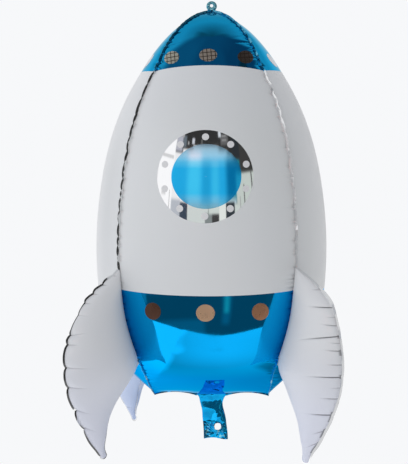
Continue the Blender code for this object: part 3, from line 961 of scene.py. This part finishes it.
def build_seams():
    at = np.arange(3 * MM, LENGTH - 6 * MM, 1.6 * MM)
    blue_above = along(NOSE_LINE[0] + NOSE_LINE[1])
    blue_below = along(TAIL_LINE[0] + TAIL_LINE[1])
    for seam, place in enumerate(SEAMS):
        radial, _ = seam_directions(seam)
        line = seam_line(seam, at)
        section = SECTION(at)
        slope = np.gradient(section[:, :3], at, axis=0)
        signs = np.sign((radial[0], radial[1]))
        tangent = np.stack((signs[0] * slope[:, 1], signs[1] * slope[:, 2], slope[:, 0]), axis=1)
        tangent /= np.linalg.norm(tangent, axis=1, keepdims=True)
        side = np.cross(radial, (0, 0, 1))
        outward = np.cross(side[None, :], tangent)
        outward *= np.sign(outward @ radial)[:, None]
        outward /= np.linalg.norm(outward, axis=1, keepdims=True)
        blue = ((at < blue_above) | (at > blue_below))[:, None]
        ripple, sway = (np.where(blue, *both) for both in zip(BLUE_WAVES, WHITE_WAVES))
        wave = CREASES[seam].ripple(at) * ripple + CREASES[seam].sway(at) * sway
        aside = np.array((radial[0], -radial[1], 0)) * np.where(blue, 0, math.tan(SEAM_LEAN))
        line = line - aside * CREASES[seam].dent(at, np.zeros_like(at), 1)[:, None]
        outward = outward + side[None, :] * wave + aside
        outward /= np.linalg.norm(outward, axis=1, keepdims=True)
        width = np.interp(at / MM, *np.transpose(SEAM_EDGE))[:, None] * MM
        piece = strip(f"seam_edge_{place}", line, outward, width, EDGE)
        piece.data.materials.append(SEAM_BLUE)
        for polygon in piece.data.polygons:
            middle = at[min(polygon.vertices[0] // (2 * STRIP_STEPS + 2), len(at) - 1)]
            polygon.material_index = int(middle < blue_above or middle > blue_below)
        ride(piece, "seam_film", f"seam_margin_{place}")


# Fins


class FinOutline:
    """Outer and inner edge of one fin, as distances from the axis at each height, with a round tip."""

    def __init__(self, place):
        top, tip, outward, inward = FIN_HANG[place]
        self.top, self.tip = top * MM, tip * MM
        self.outer, self.outer_length = self.edge(top, FIN_OUTER, outward, tip, 1)
        self.inner, self.inner_length = self.edge(FIN_ROOT_END, FIN_INNER, inward, tip, -1)
        self.cap_z = self.tip + FIN_TIP_ROUND * MM
        ends = [float(c(n)[0]) for c, n in ((self.outer, self.outer_length), (self.inner, self.inner_length))]
        self.cap_u, self.cap_half = sum(ends) / 2, (ends[0] - ends[1]) / 2

    def root(self, z):
        return float(np.hypot(*SECTION(along(z * MM))[1:3])) / MM + FIN_GAP

    def edge(self, start, rows, shifts, tip, side):
        """One edge, from the height where it leaves the body to the tip, with its length."""
        end = (FIN_TIP_U + side * FIN_TIP_ROUND, tip + FIN_TIP_ROUND)
        line = np.array([(self.root(start), start), *rows, end], float)
        line[1:, 0] += np.interp(line[1:, 1], *np.transpose(shifts[::-1]))
        line *= MM
        run = chords(line)
        return Curve(run, line), run[-1]

    def at_height(self, curve, length, z):
        fine = curve(np.linspace(0, length, 1500))
        return np.interp(-z, -fine[:, 1], fine[:, 0])

    def edges(self, z):
        outer = self.at_height(self.outer, self.outer_length, z)
        root = np.hypot(*np.moveaxis(SECTION(along(np.maximum(z, WAIST)))[..., 1:3], -1, 0)) + FIN_GAP * MM
        root_end = FIN_ROOT_END * MM
        below = self.at_height(self.inner, self.inner_length, np.minimum(z, root_end))
        inner = np.where(z >= root_end, root, below)
        drop = np.clip((self.cap_z - z) / (self.cap_z - self.tip), 0, 1)
        cap = self.cap_half * np.sqrt(1 - drop**2)
        low = z < self.cap_z
        return np.where(low, self.cap_u - cap, inner), np.where(low, self.cap_u + cap, outer)

    def soft_edges(self, z):
        """Both edges, rounded off along the height."""
        shifts = np.linspace(-CORNER_SOFT, CORNER_SOFT, 33)
        weights = np.cos(shifts / CORNER_SOFT * math.pi / 2) ** 2
        heights = [np.clip(z + shift, self.tip, self.top) for shift in shifts]
        total = sum(weight * np.array(self.edges(height)) for weight, height in zip(weights, heights))
        return total / weights.sum()

    def rim_path(self, outer_steps, inner_steps):
        """Points down the outer edge, round the tip and up the inner edge, and the outer edge's count."""
        outer = self.outer(np.linspace(0, self.outer_length, outer_steps))
        turn = np.linspace(0, math.pi, 16)[1:-1]
        tip = np.stack((self.cap_u + self.cap_half * np.cos(turn),
                        self.cap_z - (self.cap_z - self.tip) * np.sin(turn)), axis=1)
        inner = self.inner(np.linspace(self.inner_length, 8 * MM, inner_steps))
        return np.concatenate((outer, tip, inner)), outer_steps


def fin_creases(place, seed):
    """Creases from a fin's outer edge: height, depth, reach and slope."""
    if place in FIN_CREASES:
        return [(z * MM, depth * MM, reach * MM, slope) for z, depth, reach, slope in FIN_CREASES[place]]
    draw = np.random.default_rng(seed)
    rows = []
    z = -590 * MM
    while z > -910 * MM:
        rows.append((z, draw.uniform(1.4, 3.8) * MM, draw.uniform(14, 60) * MM, draw.uniform(-0.15, 0.15)))
        z -= draw.uniform(18, 40) * MM
    return rows


def scallop(place, creases, z):
    """How far a fin's outer edge is drawn in at each of its creases."""
    dent = np.zeros(np.shape(z))
    for at, depth, _, _ in creases:
        share = np.exp(-((np.abs(z - at) / SCALLOP_WIDTH) ** 0.9))
        dent = np.maximum(dent, depth * EDGE_SCALLOP[place] * share)
    return dent


def swung(u, v, z, turn):
    """Points of a fin's own plane, with v off the plane, turned into their place."""
    x = u * math.cos(turn) - v * math.sin(turn)
    y = u * math.sin(turn) + v * math.cos(turn)
    return np.stack(np.broadcast_arrays(x, y, z), axis=-1)


def fin_film_piece(name, place, panel, outline, turn, side, creases, rows, columns):
    """One of a fin's two films: half a pillow, creased from its outer edge."""
    eased = (1 - np.cos(np.linspace(0, math.pi, rows + 1))) / 2
    steps = 0.85 * np.linspace(0, 1, rows + 1) + 0.15 * eased
    z = (outline.top + (outline.tip - outline.top) * steps)[:, None]
    inner, outer = outline.edges(z)
    half = (outer - inner) / 2
    share = -np.cos(np.linspace(0, math.pi, columns + 1))[None, :]
    u = (inner + outer) / 2 + half * share
    fullness, roundness = FIN_FULLNESS.get(f"{place}_{panel}", USUAL_FULLNESS)
    lift = fullness * half * np.maximum(1 - share * share, 0) ** roundness
    soft_inner, soft_outer = outline.soft_edges(z)
    soft_half = (soft_outer - soft_inner) / 2
    soft_share = np.clip((u - (soft_inner + soft_outer) / 2) / soft_half, -1, 1)
    lift = np.minimum(lift, fullness * soft_half * (1 - soft_share**2) ** roundness)
    away = np.maximum(outer - u, 0)
    fade = np.exp(-((away / SCALLOP_REACH) ** 1.3)) * np.minimum(1, half / (9 * MM))
    drawn_in = scallop(place, creases, z) * fade
    groove = np.zeros_like(u)
    # Painted shade along the creases and the outer edge
    crease_shade = np.zeros_like(u)
    sink, darken = FIN_CREASE_DEPTH_AND_SHADE[place]
    for at, depth, reach, slope in creases:
        offset = np.abs(z - at - slope * away)
        sharp = np.exp(-offset / (FOLD_WIDTH + 0.015 * away))
        soft = SOFT_FOLD_SHARE * np.exp(-offset / SOFT_FOLD_WIDTH)
        groove = groove + sink * depth * (sharp + soft) * np.exp(-((away / reach) ** 2.5))
        line = np.clip(1.5 - offset / FOLD_WIDTH, 0, 1) * np.exp(-((away / reach) ** 3))
        crease_shade = np.maximum(crease_shade, darken * min(1, depth / FULL_SHADE_DEPTH) * line)
    # Painted shade strokes along the outer edge
    for start, end in EDGE_SHADE_STROKES.get(place, ()):
        stroke = np.clip(1.4 - away / STROKE_WIDTH, 0, 1) * np.clip(2 * (z - end * MM) / MM, 0, 1)
        crease_shade = np.maximum(crease_shade, 0.7 * stroke * np.clip(2 * (start * MM - z) / MM, 0, 1))
    lift = np.maximum(lift - groove * np.minimum(1, lift / (4 * MM)), 0) + 0.15 * MM
    faces = grid_faces(rows + 1, columns + 1)
    if side > 0:
        faces = [face[::-1] for face in faces]
    # The back left fin takes the print in painted shade
    material = SHADED_FIN_WHITE if place == "back_left" else FIN_WHITE
    piece = mesh_object(name, swung(u - drawn_in, side * lift, z, turn), faces, material)
    layer = piece.data.attributes.new("crease_shade", "FLOAT", "POINT")
    layer.data.foreach_set("value", crease_shade.ravel())
    return piece


def fin_rim_piece(name, place, outline, turn, creases, seed):
    """Sealed edge of a fin, outside its two films: wider on the outer edge than on the inner one."""
    path, count = outline.rim_path(420, 120)
    step = np.gradient(path, axis=0)
    step /= np.linalg.norm(step, axis=1, keepdims=True)
    out = np.stack((-step[:, 1], step[:, 0]), axis=1)
    on_outer = np.arange(len(path)) < count
    above_tip = np.clip((path[:, 1] - outline.tip) / (30 * MM), 0, 1)
    path[:, 0] -= scallop(place, creases, path[:, 1]) * on_outer * above_tip
    draw = np.random.default_rng(seed + 1)
    run = chords(path)
    knots = np.arange(0, run[-1] + 30 * MM, 12 * MM)
    wave = Curve(knots, draw.normal(0, 0.03, len(knots)))(run)[:, 0]
    lean, wide = (np.interp(path[:, 1] / MM, *np.transpose(rows[::-1])) for rows in FIN_EDGE[place])
    wave = wave - np.tan(np.radians(lean)) * on_outer * out[:, 0]
    width = np.where(on_outer, wide, INNER_EDGE[place]) * MM
    window = np.full(2 * RIM_BLEND + 1, 1 / (2 * RIM_BLEND + 1))
    width = np.convolve(np.pad(width, RIM_BLEND, mode="edge"), window, mode="valid")
    line = swung(path[:, 0], np.zeros(len(path)), path[:, 1], turn)
    outward = swung(out[:, 0], wave, out[:, 1], turn)
    outward /= np.linalg.norm(outward, axis=1, keepdims=True)
    return strip(name, line, outward, width[:, None], EDGE)


def build_fins():
    fins = (
        # place, turn from +X, panel on the -side, panel on the +side, seed, rows, columns
        ("front_right", -45, "front", "right", 71, 520, 60),
        ("back_right", 45, "right", "back", 83, 170, 44),
        ("back_left", 135, "back", "left", 97, 170, 44),
        ("front_left", -135, "left", "front", 101, 520, 60),
    )
    for place, degrees, before, after, seed, rows, columns in fins:
        turn = math.radians(degrees)
        outline = FinOutline(place)
        creases = fin_creases(place, seed)
        for side, panel in ((-1, before), (1, after)):
            name = f"fin_{place}_sheet_{panel}"
            piece = fin_film_piece(name, place, panel, outline, turn, side, creases, rows, columns)
            ride(piece, "white_film", f"fin_{place}_film_{panel}")
        rim = fin_rim_piece(f"fin_{place}_edge", place, outline, turn, creases, seed)
        ride(rim, "seam_film", f"fin_{place}_rim")


def fold_field(seed, count, x_range, z_range, length, depth, width):
    """Sharp folds at seeded places: each lifts or sinks a flat film along a short line."""
    draw = np.random.default_rng(seed)
    rows = []
    for _ in range(count):
        centre = draw.uniform(*x_range), draw.uniform(*z_range)
        angle = draw.uniform(0, math.pi)
        size = draw.uniform(0.6, 1.5) * length, draw.normal(0, 1) * depth, draw.uniform(0.6, 1.8) * width
        rows.append((centre, angle, *size))

    def field(x, z):
        total = np.zeros(np.broadcast(x, z).shape)
        for (centre_x, centre_z), angle, reach, lift, wide in rows:
            lengthwise = (x - centre_x) * math.cos(angle) + (z - centre_z) * math.sin(angle)
            aside = -(x - centre_x) * math.sin(angle) + (z - centre_z) * math.cos(angle)
            total += lift * np.exp(-np.abs(aside) / wide) * np.exp(-((lengthwise / reach) ** 2))
        return total

    return field


def neck_points(facing, across, down, crumple):
    """One sheet of the flattened neck, across from -1 to 1 and down from 0 to 1."""
    rows = np.array(NECK_SECTIONS, float) * MM
    curve = Curve(chords(rows), rows)
    z, centre, half = np.moveaxis(curve(down * chords(rows)[-1]), -1, 0)
    x = centre + half * across
    heights = np.array([row[0] for row in NECK_SWAY][::-1]) * MM
    stations = Curve(heights, np.array([row[1] for row in NECK_SWAY][::-1]) * MM)(z[:, 0])
    sway = np.stack([Curve(np.array(NECK_ACROSS) * MM, row)(line)[:, 0] for row, line in zip(stations, x)])
    z = z + HEM_WAVE * np.sin(across * 2.9 + 2.2) * np.clip((down - 0.7) / 0.3, 0, 1)
    swell = 2.2 * MM * (1 - across**2) ** 0.6 * (0.4 + 0.6 * np.clip(1 - down * 1.5, 0, 1))
    lower = np.clip((down - 0.55) / 0.25, 0, 1)
    crumpled = sum(field(x, z) for field in crumple) * (1 - across**6) * (0.5 + 0.5 * lower)
    out = swell + crumpled * np.clip(down * 6, 0, 1)
    return x, np.maximum(out, 0.15 * MM) * facing + sway, z


def build_neck():
    """Crumpled flat tube of film, open round its hole."""
    rows, columns = 150, 64
    crumples = [
        (
            fold_field(seed, 12, (-0.02, 0.036), (-0.90, -0.84), 14 * MM, 1.0 * MM, 3.0 * MM),
            fold_field(seed + 1, 40, (-0.016, 0.036), (-0.938, -0.896), 9 * MM, 1.1 * MM, 1.8 * MM),
        )
        for seed in (5, 8)
    ]
    hole_x, hole_z, hole_radius = NECK_HOLE
    points, faces = [], []
    for facing, crumple in zip((-1, 1), crumples):
        across = np.sin(np.linspace(-1, 1, columns + 1) * math.pi / 2)[None, :]
        down = np.linspace(0, 1, rows + 1)[:, None]
        x, y, z = neck_points(facing, across, down, crumple)
        slip = HOLE_SLIP if facing > 0 else 0
        off_x, off_z = x - hole_x - slip, z - hole_z + slip
        far = np.hypot(off_x, off_z)
        push = np.where(far < 2 * hole_radius, (hole_radius + far / 2) / np.maximum(far, 0.1 * MM), 1)
        moved = np.broadcast_arrays(hole_x + slip + off_x * push, y, hole_z - slip + off_z * push)
        start = len(points)
        points += np.stack(moved, axis=-1).reshape(-1, 3).tolist()
        for face in grid_faces(rows + 1, columns + 1):
            if any(far.flat[k] < 1.0 * MM for k in face):
                continue
            face = tuple(start + k for k in face)
            faces.append(face if facing < 0 else face[::-1])
    piece = mesh_object("neck_film", points, faces, NECK_BLUE)
    ride(piece, "blue_film", "filling_neck")


def build_tab():
    """Puffed and crumpled ring of film above the nose, on a gathered foot."""
    around, over = 96, 24
    spin = np.linspace(0, 2 * math.pi, around, endpoint=False)[:, None]
    turn = np.linspace(0, 2 * math.pi, over, endpoint=False)[None, :]
    draw = np.random.default_rng(19)
    middle = (TAB_RADIUS + TAB_HOLE_RADIUS) / 2
    half = (TAB_RADIUS - TAB_HOLE_RADIUS) / 2
    lumps = 0
    for k in (3, 5, 7, 11):
        size, phase, bend = draw.uniform(0.25, 0.6), draw.uniform(0, 6.28), draw.uniform(-1, 1)
        lumps = lumps + size * np.cos(k * spin + phase + bend * np.sin(turn))
    radius = middle + half * np.cos(turn)
    thick = (2.4 + 0.8 * lumps) * MM
    x = radius * np.sin(spin) + 0.4 * MM
    z = radius * np.cos(spin) - TAB_DROP * (0.5 + 0.5 * np.clip((radius - TAB_HOLE_RADIUS) / half, 0, 1))
    y = thick * np.sin(turn) + 0.9 * MM * np.sin(2 * spin + 1.0)
    ring = np.stack(np.broadcast_arrays(x, y, z), axis=-1).reshape(-1, 3)
    faces = [tuple(k % (around * over) for k in face) for face in grid_faces(around + 1, over, around=True)]
    levels, round_steps = 14, 40
    down = np.linspace(0, 1, levels)[:, None]
    turn = np.linspace(0, 2 * math.pi, round_steps, endpoint=False)[None, :]
    wide = (4.4 + 5.0 * down**1.3) * MM * (1 + 0.10 * np.cos(7 * turn + 3 * down))
    deep = (2.2 + 2.6 * down**1.4) * MM * (1 + 0.18 * np.cos(5 * turn + 1 + 4 * down))
    foot_z = -TAB_RADIUS - TAB_DROP + 3.5 * MM - 6.5 * MM * down
    foot = np.stack(
        np.broadcast_arrays(wide * np.cos(turn) + 1.2 * MM * down, deep * np.sin(turn), foot_z), axis=-1
    )
    start = len(ring)
    faces += [tuple(start + k for k in face[::-1]) for face in grid_faces(levels, round_steps, around=True)]
    points = np.concatenate((ring, foot.reshape(-1, 3)))
    piece = mesh_object("tab_ring", points, faces, PALE_BLUE)
    piece.data.materials.append(CRUMPLED_BLUE)
    for polygon in piece.data.polygons:
        polygon.material_index = int(polygon.vertices[0] >= start)
    ride(piece, "blue_film", "hanging_tab")


def build_base_seals():
    """Flat closing seal on each side of the neck, hanging from the front and back films."""
    for side, name in ((-1, "left"), (1, "right")):
        x = np.linspace(NECK_HALF * 0.9, SEAL_HALF + 1 * MM, 120) * side
        line = np.stack((x, np.zeros(len(x)), SEAL_Z + seal_rise(x) + 0.5 * MM), axis=1)
        draw = np.random.default_rng(61 + side)
        knots = np.arange(0, 0.12, 9 * MM)
        wave = Curve(knots, draw.normal(0, 0.12, len(knots)))(np.abs(x) - abs(x[0]))[:, 0]
        outward = np.stack((np.zeros(len(x)), wave, -np.ones(len(x))), axis=1)
        piece = strip(f"seal_edge_{name}", line, outward, SEAL_WIDTH, CRUMPLED_BLUE)
        ride(piece, "blue_film", f"base_seal_{name}")


# Stage


FLOOR_Z = -1.4
# Radius and centre (x, y) of the floor, and of the light on it that the film mirrors
FLOOR = (2.0, 0, 1.05)
FLOOR_LIGHT = (3.0, -0.25, 2.05)

# Studio surroundings, as directions seen from the balloon. Azimuth 0 is towards -Y and grows towards +X.
# Each panel has azimuth limits, elevation limits, softness of its edges and its brightness.
STUDIO_BASE = (0.86, 0.86, 0.87)
STUDIO_PANELS = (
    # azimuth from, to, elevation from, to, softness, brightness
    (-200, 200, 30, 120, 8, 0.56),
    (-200, 200, 75, 120, 28, 0.12),
    (-127, 119, 76, 120, 8, 0.14),
    (-98, 111, 38, 120, 20, (0.108, 0.118, 0.155)),
    (-94, -48, 45, 80, 18, (0.15, 0.162, 0.20)),
    (42, 104, 40, 75, 14, (0.08, 0.085, 0.12)),
    (-112, 112, -60, 38, 4, 0.15),
    # room opposite the front
    (-80, 78, 14, 52, 4, 0.035),
    (-66, 62, -60, -2, 3, 0.12),
    (-60, -5, -60, -33, 6, 0.21),
    (14, 22, -38, -4, 5, 0.22),
    (15.5, 20, -26, -4, 4, (1.2, 0.60, 0.42)),
    (-120, -70, -60, -0.5, 1.5, 0.74),
    (-96, -64, -17.5, -0.5, 2, 0.34),
    (64, 78, -60, 4, 4, 0.70),
    (58, 69, -19, -4, 3, 0.13),
    # what the pane shows
    (-37, 26, 12, 27, 1.0, 0.92),
    (-28, 19, 26, 28.8, 1.0, 0.92),
    (-17, 10, 28, 30.6, 1.0, 0.92),
    (-21, -8, 12, 27, 5, (3.0, 1.34, 1.10)),
    (-6, 1, 12, 25, 3, 0.78),
    (3, 9.5, 12, 24, 3, (2.4, 1.20, 1.02)),
    (17, 31, 12.5, 26, 4, (0.01, 0.26, 0.35)),
    # pale wall, with door frames
    (-20, -0.5, 2, 12, 0.6, (0.65, 0.70, 0.68)),
    (-3.5, 5, 2, 9.5, 0.8, (0.24, 0.27, 0.27)),
    (0, 10, 9.3, 12, 0.8, (0.65, 0.72, 0.68)),
    (3, 9.6, 2, 9.2, 0.8, 0.06),
    (9.6, 16, 2, 12.4, 0.8, (0.80, 0.84, 0.80)),
    (24, 60, 2, 12, 0.8, (0.62, 0.68, 0.65)),
    (26.5, 60, 11.5, 20.5, 1.2, (0.58, 0.64, 0.60)),
    (33.4, 34.4, 2, 17, 0.5, 0.16),
    (29.4, 30.0, 2, 14, 0.4, 0.34),
    (41.4, 42.6, 2, 20.5, 0.5, 0.14),
    (-37, -27, 2, 13, 1.0, (0.50, 0.53, 0.58)),
    (-27, -20, 2, 12.4, 0.8, (0.05, 0.07, 0.10)),
    (16, 24, 2, 12.6, 0.8, (0.04, 0.05, 0.06)),
    # shelves and lamps above
    (31.5, 46, 20.5, 34, 1.2, (0.05, 0.05, 0.048)),
    (28, 46, 25, 34, 1.2, (0.05, 0.05, 0.048)),
    (24, 32, 25.5, 34, 1.2, (0.03, 0.035, 0.04)),
    (-36, -29, 27.5, 34, 1.5, (0.48, 0.49, 0.56)),
    (-29, -25, 29.5, 34, 1.2, (0.15, 0.18, 0.21)),
    (12.5, 21, 31, 35.5, 1.0, 0.13),
    (14, 19, 32.6, 33.4, 0.5, 0.30),
    (14, 19, 34.4, 35.2, 0.5, 0.30),
    (10.2, 13.2, 34.4, 38.5, 0.8, (0.70, 0.75, 0.80)),
    (-18.8, -16, 31.2, 33.6, 0.6, (0.62, 0.64, 0.70)),
    (-23.5, -22, 30.6, 32, 0.5, 0.40),
    (-9, -7, 30.5, 33.5, 0.5, 0.12),
    (-34, -28, 33.4, 36, 1.0, 0.45),
    # window
    (-100, -36, -0.5, 33, 1.0, 1.04),
    (-50, -37, 24.4, 25.6, 0.5, 0.68),
    (-46.5, -42, 13.6, 14.8, 0.5, 0.75),
    (-38.4, -37.8, 4, 15, 0.3, 0.45),
    # what the sealed edges mirror: a doorway at the right, dark behind the left, wall and window at the left
    (44.8, 84, -13, 60, 1.0, 0.04),
    (-136, -116, -8, 14, 2.0, 0.12),
    (-112, -52.5, -13, 33, 1.0, 0.74),
    (-78, -40, -13, 6, 1.5, 0.42),
    (-68, -52.5, 6, 33, 1.5, 0.88),
)
# Daylight on the matt film from the left and from the right, its tint from below and from above, and the
# tone of the backdrop
DAYLIGHT = (0.995, 0.465)
DAYLIGHT_TINT = ((0.985, 1.0, 1.0), (0.99, 1.0, 1.06))
BACKDROP = (0.930, 0.939, 0.955)


def within(tree, angle, low, high, soft):
    """1 between two angles, falling to 0 over a soft edge at each."""
    aside = math_node(tree, "ABSOLUTE", math_node(tree, "SUBTRACT", angle, (low + high) / 2))
    return math_node(tree, "MULTIPLY_ADD", aside, -1 / soft, (high - low) / 2 / soft + 0.5, clamp=True)


def studio_colour(tree, direction):
    """What mirror-like film reflects: soft panels round the balloon."""
    x, y, z = (direction[k] for k in range(3))
    azimuth = math_node(tree, "DEGREES", math_node(tree, "ARCTAN2", x, math_node(tree, "MULTIPLY", y, -1.0)))
    elevation = math_node(tree, "DEGREES", math_node(tree, "ARCSINE", z))
    colour = STUDIO_BASE
    for left, right, low, high, soft, bright in STUDIO_PANELS:
        sides = within(tree, azimuth, left, right, soft), within(tree, elevation, low, high, soft)
        inside = math_node(tree, "MULTIPLY", *sides)
        tone = bright if isinstance(bright, tuple) else (bright, bright, bright * 1.01)
        colour = mix_colour(tree, inside, colour, tone)
    return colour


def daylight_colour(tree, direction):
    """What lights the matt film: brighter from the window's side, cooler from above."""
    x, _, z = (direction[k] for k in range(3))
    level = math_node(tree, "MULTIPLY_ADD", x, (DAYLIGHT[1] - DAYLIGHT[0]) / 2, sum(DAYLIGHT) / 2)
    rise = math_node(tree, "MULTIPLY_ADD", z, 0.5, 0.5)
    tint = mix_colour(tree, rise, *DAYLIGHT_TINT)
    made = tree.nodes.new("ShaderNodeVectorMath")
    made.operation = "SCALE"
    tree.links.new(tint, made.inputs[0])
    tree.links.new(level, made.inputs["Scale"])
    return made.outputs[0]


def build_world():
    world = bpy.data.worlds.new("studio")
    bpy.context.scene.world = world
    world.use_nodes = True
    tree = world.node_tree
    direction = axes_of(tree, "Generated")
    ray = tree.nodes.new("ShaderNodeLightPath")
    colour = mix_colour(
        tree, ray.outputs["Is Glossy Ray"], daylight_colour(tree, direction), studio_colour(tree, direction)
    )
    colour = mix_colour(tree, ray.outputs["Is Camera Ray"], colour, BACKDROP)
    tree.links.new(colour, tree.nodes["Background"].inputs["Color"])


def stage_disc(name, place, z, material):
    radius, x, y = place
    ring = np.linspace(0, 2 * math.pi, 96, endpoint=False)
    points = np.stack((np.cos(ring), np.sin(ring), np.zeros_like(ring)), axis=1) * radius
    points += (x, y, z)
    disc = mesh_object(name, points, [tuple(range(len(ring)))], material, flat=True)
    return disc


def glowing(name, colour):
    """Material that only gives off light."""
    values = {
        "Base Color": (0, 0, 0, 1),
        "Specular IOR Level": 0,
        "Emission Color": (*colour, 1),
        "Emission Strength": 1,
    }
    return new_material(name, values)


# Light on the floor. Edge of its bright left patch: x at y 0, slope with y, bend behind y 0, where and how
# fast it turns back at the front, sharpness
PATCH_X = -0.40
PATCH_SLOPE = 0.25
PATCH_BEND = -0.20
PATCH_TURN_Y = -0.65
PATCH_TURN = 0.9
PATCH_SHARPNESS = 14.0
# Level of the patch, and how it falls behind a y
PATCH_LEVEL = 1.24
PATCH_FALL = -0.30
PATCH_FALL_Y = -0.1
# Level beside it, how it rises in front of a y, and its slope with x: at y 0, change with y, limits
SIDE_LEVEL = 0.73
FRONT_RISE = 0.62
FRONT_Y = -0.35
SIDE_SLOPE = 0.045
SIDE_SLOPE_TURN = -0.9
SIDE_SLOPE_LIMITS = (-0.5, 0.22)
# Dark corner at the back right: how it sets in with x and with y, and its depth, then the darkest level
CORNER_X = (8.0, -3.2)
CORNER_Y = (5.0, 1.1)
CORNER_DARK = -0.35
DARKEST = 0.3


def build_floor():
    """Pale disc below, of the same tone as the backdrop, and the soft light that the film mirrors from it."""
    floor = stage_disc("floor", FLOOR, FLOOR_Z, glowing("floor", BACKDROP)[0])
    floor.visible_glossy = False
    material, tree, shader = glowing("floor_light", (1, 1, 1))
    axes = axes_of(tree)
    x, y = axes["X"], axes["Y"]

    def at_least(value, limit):
        return math_node(tree, "MAXIMUM", value, limit)

    def less(value, other):
        return math_node(tree, "SUBTRACT", value, other)

    def line(value, slope, start, clamp=False):
        return math_node(tree, "MULTIPLY_ADD", value, slope, start, clamp=clamp)

    edge = line(at_least(y, 0.0), PATCH_BEND, line(y, PATCH_SLOPE, PATCH_X))
    edge = line(at_least(less(PATCH_TURN_Y, y), 0.0), PATCH_TURN, edge)
    left = line(less(edge, x), PATCH_SHARPNESS, 0.5, clamp=True)
    level = line(at_least(less(FRONT_Y, y), 0.0), FRONT_RISE, SIDE_LEVEL)
    slope = math_node(tree, "MINIMUM", line(y, SIDE_SLOPE_TURN, SIDE_SLOPE), SIDE_SLOPE_LIMITS[1])
    level = line(x, at_least(slope, SIDE_SLOPE_LIMITS[0]), level)
    corner = math_node(tree, "MULTIPLY", line(x, *CORNER_X, clamp=True), line(y, *CORNER_Y, clamp=True))
    level = at_least(line(corner, CORNER_DARK, level), DARKEST)
    patch = line(at_least(y, PATCH_FALL_Y), PATCH_FALL, PATCH_LEVEL)
    level = line(left, less(patch, level), level)
    tree.links.new(level, shader.inputs["Emission Strength"])
    light = stage_disc("floor_light", FLOOR_LIGHT, FLOOR_Z + 1 * MM, material)
    light.visible_camera = False
    light.visible_diffuse = False
    light.visible_shadow = False


def build_camera():
    data = bpy.data.cameras.new("camera")
    data.sensor_width = SENSOR
    data.lens = SENSOR * FOCAL_PIXELS / max(PHOTO_SIZE)
    camera = bpy.data.objects.new("camera", data)
    bpy.context.scene.collection.objects.link(camera)
    camera.location = (
        CAMERA_FROM_AXIS * math.sin(CAMERA_TURN),
        -CAMERA_FROM_AXIS * math.cos(CAMERA_TURN),
        CAMERA_HEIGHT,
    )
    down = math.atan((PHOTO_SIZE[1] / 2 - HORIZON_PIXEL - KEYSTONE) / FOCAL_PIXELS)
    aside = math.atan((AXIS_PIXEL - PHOTO_SIZE[0] / 2) / FOCAL_PIXELS)
    camera.rotation_euler = (math.pi / 2 - down, 0, CAMERA_TURN + aside)
    bpy.context.scene.camera = camera
    bpy.context.scene.view_settings.view_transform = "Standard"


build_envelope()
build_prints()
build_seams()
build_fins()
build_base_seals()
build_neck()
build_tab()
build_floor()
build_world()
build_camera()
